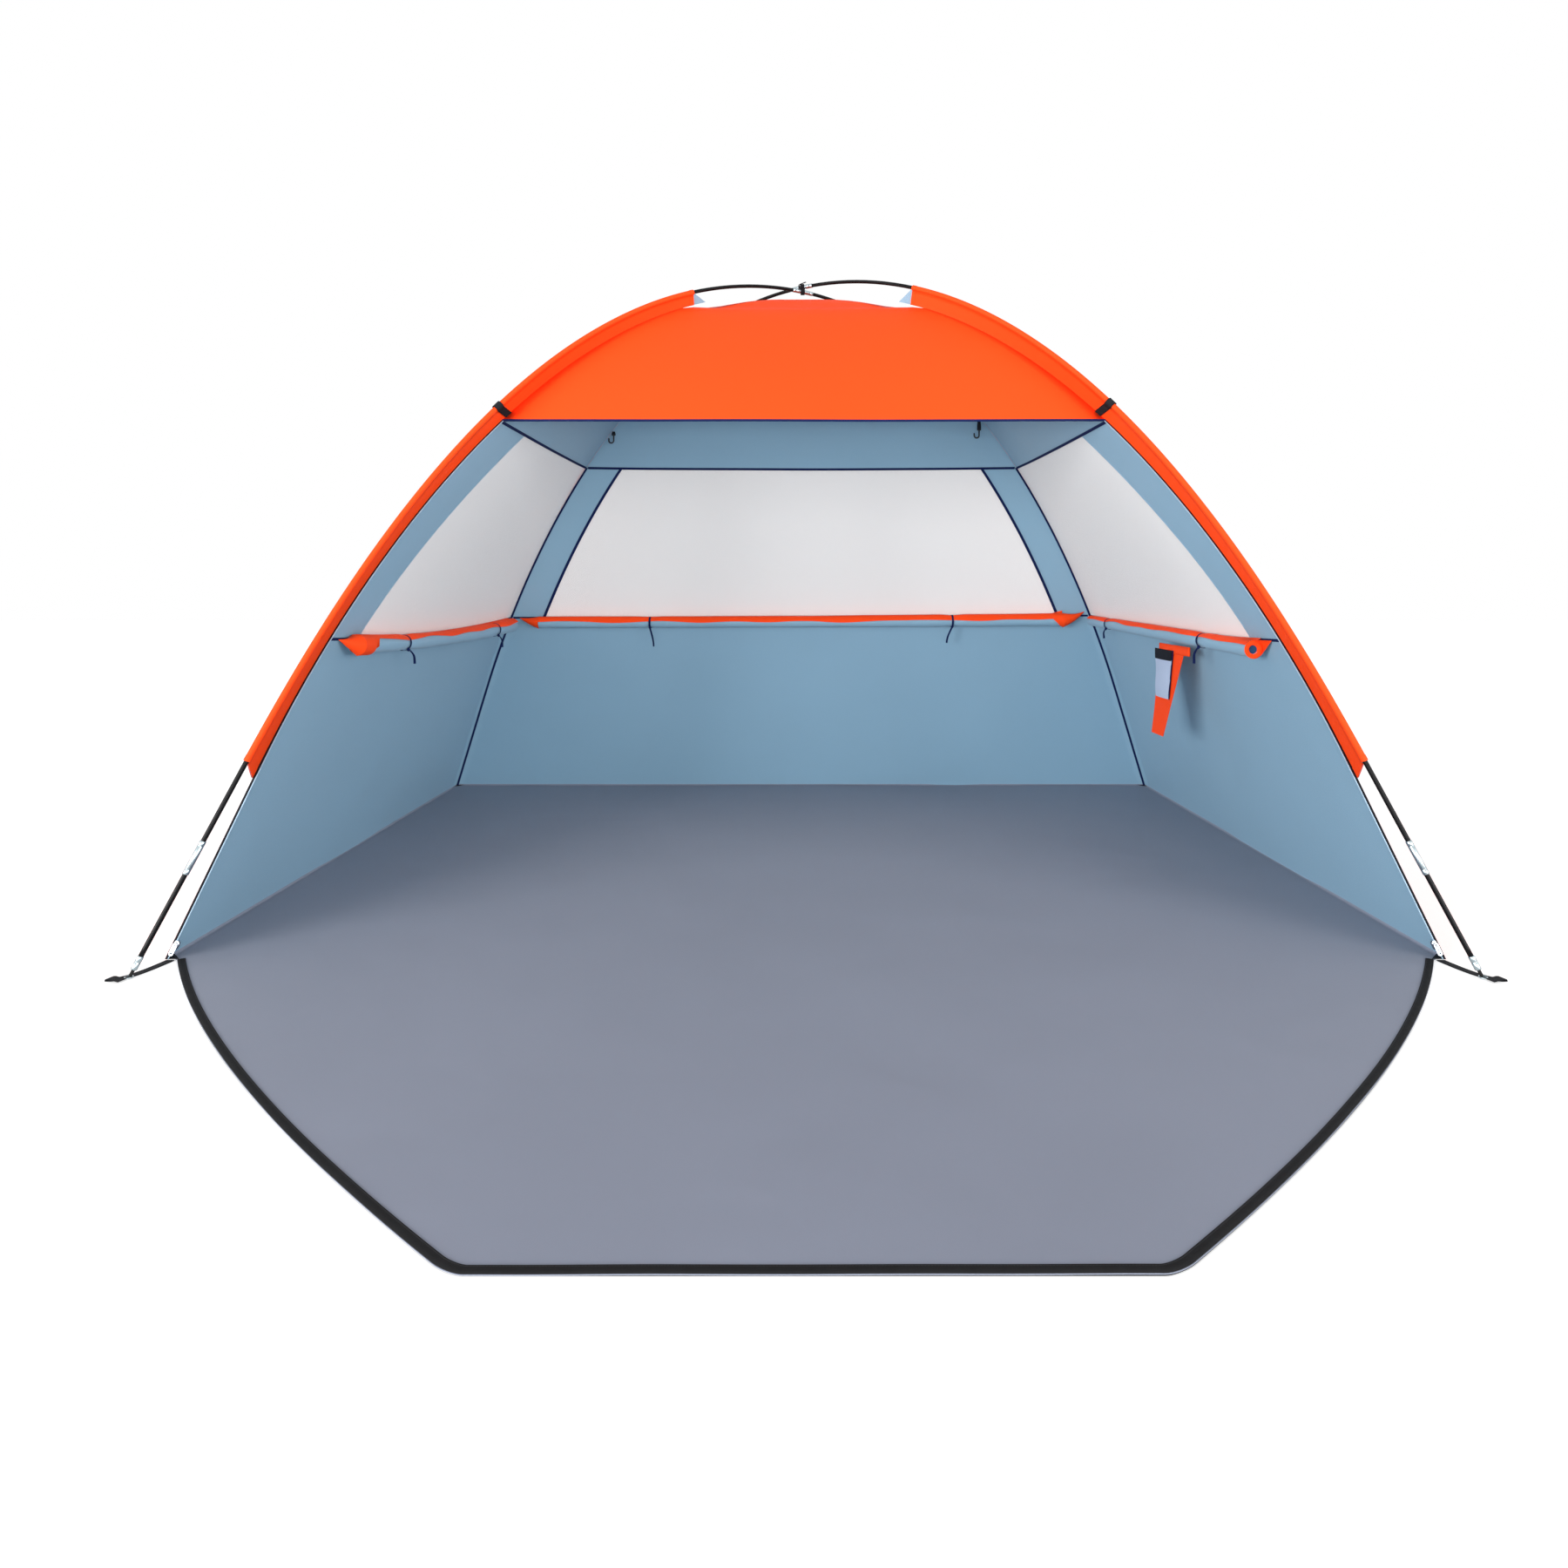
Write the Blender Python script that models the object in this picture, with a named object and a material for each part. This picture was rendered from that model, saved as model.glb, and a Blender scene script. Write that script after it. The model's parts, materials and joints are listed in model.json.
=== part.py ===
"""Beach tent on two crossed bent poles, with a flap of groundsheet in front.

Metres, +Z up. The origin is on the ground at the middle of the groundsheet.
The open front faces -Y, and +X is the right-hand side seen from the front.
"""
import math

import bmesh
import bpy
from mathutils import Vector

# Clearances and cloth
gap = 0.0003
seam_gap = 0.0003
cloth = 0.0015
sheet = 0.002
webbing = 0.0016

# Canopy, measured at its outer seams
base_half_width = 1.130
base_half_depth = 0.725
ridge_height = 1.378
brow_drop = 0.373
brow_height = ridge_height - brow_drop
window_height = 0.440
window_sill_height = brow_height - window_height
ridge_half_width = 0.025
seam_knee_run_share = 0.891
seam_knee_rise_share = 0.240
seam_crown_handle_share = 0.437
seam_knee_handle_share = 0.342

# Wall parts beside the windows
strip_width_sill = 0.123
strip_width_brow = 0.158
pillar_width = 0.107

# Poles
foot_outset_width = 0.010
foot_outset_depth = 0.075
pole_over_ridge = 0.022
foot_half_width = base_half_width + foot_outset_width
foot_half_depth = base_half_depth + foot_outset_depth
pole_height = ridge_height + pole_over_ridge
pole_knee_run_share = 0.884
pole_knee_rise_share = 0.232
pole_crown_handle_share = 0.482
pole_knee_handle_share = 0.279
rod_radius = 0.00425
bore_radius = 0.0023
shock_cord_radius = 0.0013
rod_sides = 8
tangent_share = 0.001
ferrule_wall = 0.0008
ferrule_length = 0.060
rod_joint_gap = 0.0006
end_section_length = 0.210
tip_cap_radius = 0.0052
tip_cap_length = 0.024
tip_pin_radius = 0.0028
tip_pin_length = 0.014
tip_taper = 0.002
cord_stop = 0.010
station_spacing = 0.085

# Pole sleeves
sleeve_clearance = 0.0008
sleeve_cloth = 0.0010
sleeve_web_gap = 0.0008
sleeve_top_reach = 0.320
sleeve_foot_reach = 0.367
sleeve_slant = 0.030
seam_stand_off = 0.0006

# Webbing keepers over the sleeves at the brow corners
keeper_width = 0.015
keeper_cloth = 0.0012
keeper_stand_off = 0.009

# Cord that lashes the poles where they cross
lashing_radius = 0.0015

# Front flap of the groundsheet
flap_depth = 0.765
flap_rear_inset = 0.023
flap_rear_half_width = base_half_width - flap_rear_inset
flap_front_half_width = 0.353
flap_side_bulge = 0.055
flap_corner_radius = 0.016
flap_hinge_gap = 0.0006

# Zips along the two sides of the opening
zip_tape_width = 0.009
zip_start_height = 0.020
slider_width = 0.0075
slider_length = 0.016
slider_plate = 0.0014
pull_width = 0.009
pull_length = 0.022
pull_thickness = 0.0016
pull_hold_share = 0.75

# Window flaps, rolled up under the sills and tied
roll_radius = 0.024
roll_sides = 12
roll_drop = 0.012
roll_height = window_sill_height - roll_drop
side_roll_front_inset = 0.079
back_roll_inset = 0.071
tie_width = 0.012
tie_cloth = 0.0010
tie_tail_length = 0.052
side_tie_front_inset = 0.238
side_tie_rear_inset = 0.162
back_tie_inset = 0.370

# Hanging pieces turn about an axis just below their sewn top edge
swing_gap = 0.0006
swing_drop = 0.0012

# Hanging strap under the right roll
strap_length = 0.231
strap_thickness = 0.0018
strap_head_width = 0.180
strap_head_depth = 0.022
strap_top_width = 0.145
strap_foot_width = 0.074
strap_lean = 0.053
strap_y = -0.121

# Lantern hooks on the ceiling seams
hook_wire_radius = 0.0022
hook_bend_radius = 0.0070
hook_shank_length = 0.016
hook_lip_length = 0.007
hook_tab_width = 0.012
hook_tab_top_width = 0.004
hook_tab_thickness = 0.0016
hook_tab_taper_share = 0.8
left_tab_length = 0.010
right_tab_length = 0.034
left_hook_run_share = 0.480
right_hook_run_share = 0.450

# Corner straps that carry the pole feet
corner_strap_width = 0.020
corner_strap_inset = 0.011
corner_strap_turn = 0.015
peg_loop_reach = 0.032
peg_loop_setback = 0.006

cloth_out = (0.99, 0.12, 0.022)
cloth_in = (0.19, 0.31, 0.38)
net_grey = (0.70, 0.71, 0.72)
floor_grey = (0.20, 0.24, 0.31)
black = (0.012, 0.012, 0.016)
steel_grey = (0.72, 0.73, 0.75)


def clear_scene():
    for thing in list(bpy.data.objects):
        bpy.data.objects.remove(thing, do_unlink=True)


def finish(name, colour, roughness, metallic=0.0):
    """A plain Principled material for one kind of surface."""
    material = bpy.data.materials.new(name)
    material.use_nodes = True
    shader = material.node_tree.nodes["Principled BSDF"]
    shader.inputs["Base Color"].default_value = (*colour, 1.0)
    shader.inputs["Roughness"].default_value = roughness
    shader.inputs["Metallic"].default_value = metallic
    return material


def between(start, end, share):
    return start + (end - start) * share


class Arch:
    """A bent pole or seam in its own upright plane: a crown curve, then a straight leg.

    It runs from the crown (no run, full rise) down to the foot (full run, no rise).
    """

    def __init__(self, run, rise, knee_run_share, knee_rise_share, crown_handle_share, knee_handle_share):
        self.run = run
        self.rise = rise
        crown = Vector((0, rise))
        knee = Vector((run * knee_run_share, rise * knee_rise_share))
        foot = Vector((run, 0))
        crown_handle = crown + Vector((run * crown_handle_share, 0))
        knee_handle = knee + (knee - foot).normalized() * run * knee_handle_share
        steps = 160
        self.points = []
        for step in range(steps + 1):
            along = step / steps
            back = 1 - along
            point = crown * back ** 3 + crown_handle * 3 * back * back * along
            point += knee_handle * 3 * back * along * along + knee * along ** 3
            self.points.append(point)
        self.points.append(foot)
        self.lengths = [0.0]
        for first, second in zip(self.points, self.points[1:]):
            self.lengths.append(self.lengths[-1] + (second - first).length)
        self.length = self.lengths[-1]

    def at(self, length):
        """Run and rise at a length along the arch from the crown."""
        for index in range(1, len(self.points)):
            if self.lengths[index] >= length or index == len(self.points) - 1:
                start = self.lengths[index - 1]
                share = (length - start) / (self.lengths[index] - start)
                return self.points[index - 1].lerp(self.points[index], share)

    def run_at(self, height):
        for upper, lower in zip(self.points, self.points[1:]):
            if lower.y <= height:
                share = (upper.y - height) / (upper.y - lower.y) if upper.y > lower.y else 0
                return between(upper.x, lower.x, share)
        return self.run

    def rise_at(self, run):
        for upper, lower in zip(self.points, self.points[1:]):
            if lower.x >= run:
                share = (run - upper.x) / (lower.x - upper.x)
                return between(upper.y, lower.y, share)
        return 0


seam_arch = Arch(
    math.hypot(base_half_width, base_half_depth), ridge_height,
    seam_knee_run_share, seam_knee_rise_share, seam_crown_handle_share, seam_knee_handle_share)


def pole_arch(lift):
    return Arch(
        math.hypot(foot_half_width, foot_half_depth), pole_height + lift,
        pole_knee_run_share, pole_knee_rise_share, pole_crown_handle_share, pole_knee_handle_share)


ferrule_bore = rod_radius + gap
ferrule_radius = ferrule_bore + ferrule_wall
crossing_lift = 2 * ferrule_radius + gap
low_pole = pole_arch(0)
high_pole = pole_arch(crossing_lift)


def add_mesh(name, mesh_builder, material):
    bmesh.ops.recalc_face_normals(mesh_builder, faces=mesh_builder.faces)
    if mesh_builder.calc_volume(signed=True) < 0:
        bmesh.ops.reverse_faces(mesh_builder, faces=mesh_builder.faces)
    mesh = bpy.data.meshes.new(name)
    mesh_builder.to_mesh(mesh)
    mesh_builder.free()
    mesh.materials.append(material)
    thing = bpy.data.objects.new(name, mesh)
    bpy.context.collection.objects.link(thing)
    return thing


def slab(name, material, rows, columns, place):
    """A sheet with a thickness: place(row share, column share, depth share) gives each corner."""
    work = bmesh.new()
    bmesh.ops.create_grid(work, x_segments=rows, y_segments=columns, size=1)
    grown = bmesh.ops.extrude_face_region(work, geom=work.faces[:])
    for part in grown["geom"]:
        if isinstance(part, bmesh.types.BMVert):
            part.co.z = 1
    for corner in work.verts:
        corner.co = place((corner.co.x + 1) / 2, (corner.co.y + 1) / 2, corner.co.z)
    return add_mesh(name, work, material)


def loft(name, material, rings, loop=False):
    """Skin a run of rings with equal counts; its ends are capped unless it closes on itself."""
    work = bmesh.new()
    made = [[work.verts.new(point) for point in ring] for ring in rings]
    pairs = list(zip(made, made[1:]))
    if loop:
        pairs.append((made[-1], made[0]))
    else:
        work.faces.new(made[0])
        work.faces.new(made[-1])
    for first, second in pairs:
        count = len(first)
        for index in range(count):
            after = (index + 1) % count
            work.faces.new((first[index], first[after], second[after], second[index]))
    return add_mesh(name, work, material)


def put_origin(thing, origin):
    """Move a piece's origin to its joint without moving the piece."""
    thing.data.transform(thing.matrix_world.Translation(-Vector(origin)))
    thing.location = origin


# The canopy is one thin shell. A row of it is a level line, and its four seams
# run down over the corners, so panels that share a seam share a mitre.

def shell_row(height):
    """The seams' run and rise at a height, as shares of the canopy's half sizes and ridge."""
    return seam_arch.run_at(height) / seam_arch.run, height / ridge_height


def shell_sizes(depth):
    thickness = cloth * depth
    return base_half_width - thickness, base_half_depth - thickness, ridge_height - thickness


def wall_rows(heights):
    return [shell_row(height) for height in heights]


def row_at(rows, share):
    return rows[min(round(share * (len(rows) - 1)), len(rows) - 1)]


def side_panel(name, material, side, rows, front_edge, rear_edge):
    """A panel of the left (side -1) or right (side 1) wall between two edges.

    Each edge is a function of the row's half depth and height that gives a place along Y.
    """
    def place(row, column, depth):
        run, rise = row_at(rows, row)
        half_width, half_depth, ridge = shell_sizes(depth)
        corner = half_depth * run
        front = front_edge(corner, rise * ridge_height)
        rear = rear_edge(corner, rise * ridge_height)
        return Vector((side * half_width * run, between(front, rear, column), ridge * rise))
    return slab(name, material, len(rows) - 1, 1, place)


def cross_panel(name, material, side, rows, left_edge, right_edge):
    """A panel of the front (side -1) or back (side 1) of the canopy between two edges."""
    def place(row, column, depth):
        run, rise = row_at(rows, row)
        half_width, half_depth, ridge = shell_sizes(depth)
        corner = half_width * run
        left = left_edge(corner, rise * ridge_height)
        right = right_edge(corner, rise * ridge_height)
        return Vector((between(left, right, column), side * half_depth * run, ridge * rise))
    return slab(name, material, len(rows) - 1, 1, place)


def low_corner(corner, height):
    return -corner + seam_gap


def high_corner(corner, height):
    return corner - seam_gap


def sill_share(height):
    return (height - window_sill_height) / (brow_height - window_sill_height)


def strip_edge(corner, height):
    """The strip keeps its sill width at first, then swells to its brow width."""
    share = min(max(sill_share(height), 0), 1)
    swell = share * share * (3 - 2 * share)
    return -corner + between(strip_width_sill, strip_width_brow, swell)


def net_front_edge(corner, height):
    return strip_edge(corner, height) + gap


def left_pillar_edge(corner, height):
    return -corner + pillar_width


def right_pillar_edge(corner, height):
    return corner - pillar_width


def net_left_edge(corner, height):
    return left_pillar_edge(corner, height) + gap


def net_right_edge(corner, height):
    return right_pillar_edge(corner, height) - gap


def heights_between(low, high, steps):
    return [between(low, high, step / steps) for step in range(steps + 1)]


wall_foot = sheet + gap
knee_height = ridge_height * seam_knee_rise_share
lower_rows = wall_rows([wall_foot] + heights_between(knee_height, window_sill_height - gap / 2, 3))
window_rows = wall_rows(heights_between(window_sill_height + gap / 2, brow_height - gap / 2, 5))


def roof_rows():
    """Rows from the brow up to the small flat at the ridge, closer together where it bends."""
    steps = 9
    brow_run = seam_arch.run_at(brow_height + gap / 2)
    ridge_run = seam_arch.run * ridge_half_width / base_half_width
    rows = []
    for step in range(steps + 1):
        run = between(brow_run, ridge_run, step / steps)
        rows.append((run / seam_arch.run, seam_arch.rise_at(run) / ridge_height))
    rows[0] = shell_row(brow_height + gap / 2)
    return rows


def build_walls(inner_cloth, net):
    for side, word in ((-1, "left"), (1, "right")):
        side_panel(word + "_wall", inner_cloth, side, lower_rows, low_corner, high_corner)
        side_panel(word + "_front_strip", inner_cloth, side, window_rows, low_corner, strip_edge)
        side_panel(word + "_window_net", net, side, window_rows, net_front_edge, high_corner)
    cross_panel("back_wall", inner_cloth, 1, lower_rows, low_corner, high_corner)
    cross_panel("back_pillar_left", inner_cloth, 1, window_rows, low_corner, left_pillar_edge)
    cross_panel("back_pillar_right", inner_cloth, 1, window_rows, right_pillar_edge, high_corner)
    cross_panel("back_window_net", net, 1, window_rows, net_left_edge, net_right_edge)


def build_roof(outer_cloth):
    rows = roof_rows()
    for side, word in ((-1, "left"), (1, "right")):
        side_panel(word + "_roof", outer_cloth, side, rows, low_corner, high_corner)

    def ridge_roof(name, side):
        """The front and back panels carry on past their last row to meet at the ridge."""
        def place(row, column, depth):
            index = round(row * len(rows))
            run, rise = rows[min(index, len(rows) - 1)]
            half_width, half_depth, ridge = shell_sizes(depth)
            edge = half_width * run - seam_gap
            across = between(-edge, edge, column)
            out = half_depth * run if index < len(rows) else gap
            return Vector((across, side * out, ridge * rise))
        return slab(name, outer_cloth, len(rows), 1, place)

    ridge_roof("front_roof", -1)
    ridge_roof("rear_roof", 1)


def build_floor(material):
    def place(row, column, depth):
        along = between(-base_half_depth, base_half_depth, column)
        return Vector((between(-base_half_width, base_half_width, row), along, sheet * depth))
    slab("floor_sheet", material, 1, 1, place)


def flap_half_width(out):
    """Half width of the front flap at a distance out from its fold."""
    share = out / flap_depth
    width = between(flap_rear_half_width, flap_front_half_width, share)
    width += flap_side_bulge * 4 * share * (1 - share)
    left = flap_depth - out
    if left < flap_corner_radius:
        width -= flap_corner_radius - math.sqrt(flap_corner_radius ** 2 - (flap_corner_radius - left) ** 2)
    return width


def build_flap(material):
    """The front flap folds up about the top edge of the groundsheet's front."""
    fold = Vector((0, -base_half_depth - flap_hinge_gap, sheet))
    straight = flap_depth - flap_corner_radius
    long_steps = 9
    outs = [straight * step / long_steps for step in range(long_steps + 1)]
    turn_steps = 4
    for step in range(1, turn_steps + 1):
        angle = math.radians(90) * step / turn_steps
        outs.append(straight + flap_corner_radius * math.sin(angle))

    def place(row, column, depth):
        out = outs[round(row * (len(outs) - 1))]
        half = flap_half_width(out)
        return Vector((between(-half, half, column), fold.y - out, sheet * depth))
    flap = slab("front_flap", material, len(outs) - 1, 4, place)
    put_origin(flap, fold)


# Poles

def pole_place(arch, corner, length):
    """A point on a pole's centre line, on the leg that goes to one corner."""
    run, rise = arch.at(length)
    share = run / arch.run
    return Vector((corner[0] * foot_half_width * share, corner[1] * foot_half_depth * share, rise))


def pole_frame(arch, corner, length):
    """Centre, direction towards the foot, and two directions square to it."""
    step = arch.length * tangent_share
    centre = pole_place(arch, corner, length)
    ahead = (pole_place(arch, corner, min(length + step, arch.length)) - pole_place(
        arch, corner, max(length - step, 0))).normalized()
    if length < step:
        ahead = Vector((corner[0] * foot_half_width, corner[1] * foot_half_depth, 0)).normalized()
    side = Vector((corner[1] * foot_half_depth, -corner[0] * foot_half_width, 0))
    side = side * corner[0] * corner[1]
    side.normalize()
    return centre, ahead, side, ahead.cross(side)


def pole_ring(arch, corner, length, radius, sides=rod_sides):
    centre, ahead, side, up = pole_frame(arch, corner, length)
    ring = []
    for index in range(sides):
        angle = math.radians(360) * index / sides
        ring.append(centre + side * math.cos(angle) * radius + up * math.sin(angle) * radius)
    return ring


def stations(start, end, spacing):
    count = max(1, math.ceil((end - start) / spacing))
    return [between(start, end, step / count) for step in range(count + 1)]


def keeper_middle(arch):
    """The length along a pole at which the brow's corner lies under it."""
    length = 0.0
    while seam_arch.at(length).y > brow_height + keeper_width / 2:
        length += keeper_width / 4
    return length * arch.length / seam_arch.length


def arch_stations(arch, start, end):
    """Stations between two lengths, shared by a pole's rods, its cord and its sleeve.

    They are close on the crown, with one at each end of whatever fits round the pole there.
    """
    middle = keeper_middle(arch)
    marks = [0, ferrule_length / 2, sleeve_top_reach, middle - keeper_width / 2, middle + keeper_width / 2,
             arch.length - sleeve_foot_reach]
    shared = []
    for first, second in zip(marks, marks[1:]):
        shared += stations(first, second, station_spacing)[:-1]
    shared.append(marks[-1])
    inside = [place for place in shared if start + gap < place < end - gap]
    return [start] + inside + [end]


def flat_foot(arch, corner, radius, level):
    """The end of a pole pin, cut level where it stands."""
    ring = pole_ring(arch, corner, arch.length, radius)
    ahead = pole_frame(arch, corner, arch.length)[1]
    return [point + ahead * (level - point.z) / ahead.z for point in ring]


corner_words = {(-1, -1): "front_left", (1, -1): "front_right", (-1, 1): "rear_left", (1, 1): "rear_right"}


def build_pole(arch, corners, word, rod, steel, cord):
    """One pole: two long sections, two end sections with tips, three ferrules and the cord inside."""
    leg_joint = arch.length - end_section_length
    half_joint = rod_joint_gap / 2
    centre = [(corners[0], ferrule_length / 2), (corners[0], 0), (corners[1], ferrule_length / 2)]
    outer = [through_ring(arch, corners, corner, length, ferrule_radius) for corner, length in centre]
    inner = [through_ring(arch, corners, corner, length, ferrule_bore) for corner, length in centre]
    loft(word + "_ferrule_middle", steel, outer + inner[::-1], loop=True)
    for corner in corners:
        tag = corner_words[corner]
        places = arch_stations(arch, half_joint, leg_joint - half_joint)
        outer = [pole_ring(arch, corner, place, rod_radius) for place in places]
        inner = [pole_ring(arch, corner, place, bore_radius) for place in places]
        loft("pole_section_" + tag, rod, outer + inner[::-1], loop=True)
        ends = [leg_joint - ferrule_length / 2, leg_joint + ferrule_length / 2]
        outer = [pole_ring(arch, corner, place, ferrule_radius) for place in ends]
        inner = [pole_ring(arch, corner, place, ferrule_bore) for place in ends]
        loft("pole_ferrule_" + tag, steel, outer + inner[::-1], loop=True)
        build_pole_end(arch, corner, tag, leg_joint + half_joint, rod)
    build_shock_cord(arch, corners, word, cord)


def through_ring(arch, corners, corner, length, radius):
    """A ring on either leg, with its points in the same order all the way over the crown."""
    ring = pole_ring(arch, corner, length, radius)
    if corner == corners[0]:
        return ring
    half = rod_sides // 2
    return [ring[(half - index) % rod_sides] for index in range(rod_sides)]


def build_pole_end(arch, corner, tag, start, rod):
    """The short section that stands in the corner strap: rod, steel cap and pin in one glued piece."""
    pin_top = arch.length - tip_pin_length
    cap_top = pin_top - tip_cap_length
    stop = cap_top - cord_stop
    inner = [pole_ring(arch, corner, place, bore_radius) for place in (stop, start)]
    outer = [
        pole_ring(arch, corner, start, rod_radius),
        pole_ring(arch, corner, cap_top, rod_radius),
        pole_ring(arch, corner, cap_top + tip_taper / 2, tip_cap_radius),
        pole_ring(arch, corner, pin_top - tip_taper, tip_cap_radius),
        pole_ring(arch, corner, pin_top, tip_pin_radius),
        flat_foot(arch, corner, tip_pin_radius, webbing + gap),
    ]
    loft("pole_end_" + tag, rod, inner + outer)


def build_shock_cord(arch, corners, word, cord):
    """The elastic cord that runs inside one pole from tip to tip."""
    stop = arch.length - tip_pin_length - tip_cap_length - cord_stop - gap
    places = arch_stations(arch, 0, stop)
    points = [pole_place(arch, corners[0], place) for place in places[::-1]]
    points += [pole_place(arch, corners[1], place) for place in places[1:]]
    curve = bpy.data.curves.new(word + "_shock_cord", "CURVE")
    curve.dimensions = "3D"
    curve.bevel_depth = shock_cord_radius
    curve.bevel_resolution = 1
    curve.use_fill_caps = True
    spline = curve.splines.new("POLY")
    spline.points.add(len(points) - 1)
    for point, place in zip(spline.points, points):
        point.co = (*place, 1)
    curve.materials.append(cord)
    thing = bpy.data.objects.new(word + "_shock_cord", curve)
    bpy.context.collection.objects.link(thing)


def build_lashing(material):
    """A loop of cord round both middle ferrules where the poles cross."""
    lean = math.atan2(foot_half_depth, foot_half_width)
    half_width = ferrule_radius / math.cos(lean) + lashing_radius * (1 + math.tan(lean)) + gap
    half_height = ferrule_radius + lashing_radius + gap
    middle = pole_height + crossing_lift / 2
    curve = bpy.data.curves.new("crossing_lashing", "CURVE")
    curve.dimensions = "3D"
    curve.bevel_depth = lashing_radius
    curve.bevel_resolution = 1
    turns = 8
    reach = 1 / math.cos(math.radians(90) / turns)
    places = []
    for end in (1, -1):
        for index in range(turns + 1):
            angle = math.radians(180) * index / turns
            across = end * half_width * math.cos(angle) * reach
            up = end * (half_height * math.sin(angle) * reach + crossing_lift / 2)
            places.append((0, across, middle + up, 1))
    spline = curve.splines.new("POLY")
    spline.points.add(len(places) - 1)
    spline.use_cyclic_u = True
    for point, place in zip(spline.points, places):
        point.co = place
    curve.materials.append(material)
    thing = bpy.data.objects.new("crossing_lashing", curve)
    bpy.context.collection.objects.link(thing)


# Sleeves and keepers

def wrap_section(radius, thickness, web_gap, reach):
    """Pairs of inner and outer points of cloth folded round a pole.

    The first number of a point is towards the seam, the second is sideways.
    """
    half = web_gap / 2
    turns = 8
    open_angle = math.asin((half + thickness / 2) / (radius + thickness / 2))
    pairs = [((reach, -half), (reach, -half - thickness))]
    for index in range(turns + 1):
        angle = between(-open_angle, open_angle - math.radians(360), index / turns)
        turned = (math.cos(angle), math.sin(angle))
        outside = radius + thickness
        inside = (turned[0] * radius, turned[1] * radius)
        pairs.append((inside, (turned[0] * outside, turned[1] * outside)))
    pairs.append(((reach, half), (reach, half + thickness)))
    return pairs


def seam_place(corner, length):
    run, rise = seam_arch.at(length)
    share = run / seam_arch.run
    return Vector((corner[0] * base_half_width * share, corner[1] * base_half_depth * share, rise))


def wrap(name, material, arch, corner, places, radius, thickness, web_gap, stand_off, slant=0.0):
    """Cloth folded round a pole, with its two edges brought down to the canopy's seam.

    The slant carries the lower end further down along the seam than along the pole.
    """
    columns = len(wrap_section(radius, thickness, web_gap, radius)) - 1

    def place(row, column, depth):
        index = round(row * (len(places) - 1))
        centre, ahead, side, up = pole_frame(arch, corner, places[index])
        seam = seam_place(corner, places[index] * seam_arch.length / arch.length)
        inwards = seam - centre
        inwards -= ahead * inwards.dot(ahead)
        reach = inwards.length - stand_off
        inwards.normalize()
        sideways = ahead.cross(inwards)
        pairs = wrap_section(radius, thickness, web_gap, reach)
        inner, outer = pairs[round(column * columns)]
        towards, aside = outer if depth else inner
        drop = slant * max(towards, 0) / reach if index == len(places) - 1 else 0
        return centre + inwards * towards + sideways * aside + ahead * drop
    return slab(name, material, len(places) - 1, columns, place)


def build_sleeves(poles, outer_cloth, tape):
    inside = rod_radius + sleeve_clearance
    for arch, corners in poles:
        for corner in corners:
            tag = corner_words[corner]
            places = arch_stations(arch, sleeve_top_reach, arch.length - sleeve_foot_reach)
            wrap("pole_sleeve_" + tag, outer_cloth, arch, corner, places,
                 inside, sleeve_cloth, sleeve_web_gap, seam_stand_off, sleeve_slant)
            if corner[1] < 0:
                build_keeper(arch, corner, tag, inside + sleeve_cloth + gap, tape)


def build_keeper(arch, corner, tag, inside, tape):
    """A patch of webbing over the sleeve where the brow meets it."""
    middle = keeper_middle(arch)
    places = [middle - keeper_width / 2, middle + keeper_width / 2]
    web_gap = sleeve_web_gap + 2 * sleeve_cloth + 2 * gap
    wrap("brow_keeper_" + tag, tape, arch, corner, places, inside, keeper_cloth, web_gap, keeper_stand_off)


# Zips

def build_zips(tape, steel):
    rows = lower_rows + window_rows
    for side, word in ((-1, "left"), (1, "right")):
        def inner_edge(corner, height):
            return side * (corner - zip_tape_width)

        def outer_edge(corner, height):
            return side * (corner - seam_gap)
        cross_panel(word + "_zip_tape", tape, -1, rows, inner_edge, outer_edge)
        build_slider(word, side, steel)


def zip_direction(side):
    """The way the straight lower run of a zip climbs."""
    run = seam_arch.run_at(knee_height) / seam_arch.run
    rise = Vector((side * base_half_width * run, -base_half_depth * run, knee_height))
    foot = Vector((side * base_half_width, -base_half_depth, 0))
    return (rise - foot).normalized()


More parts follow.
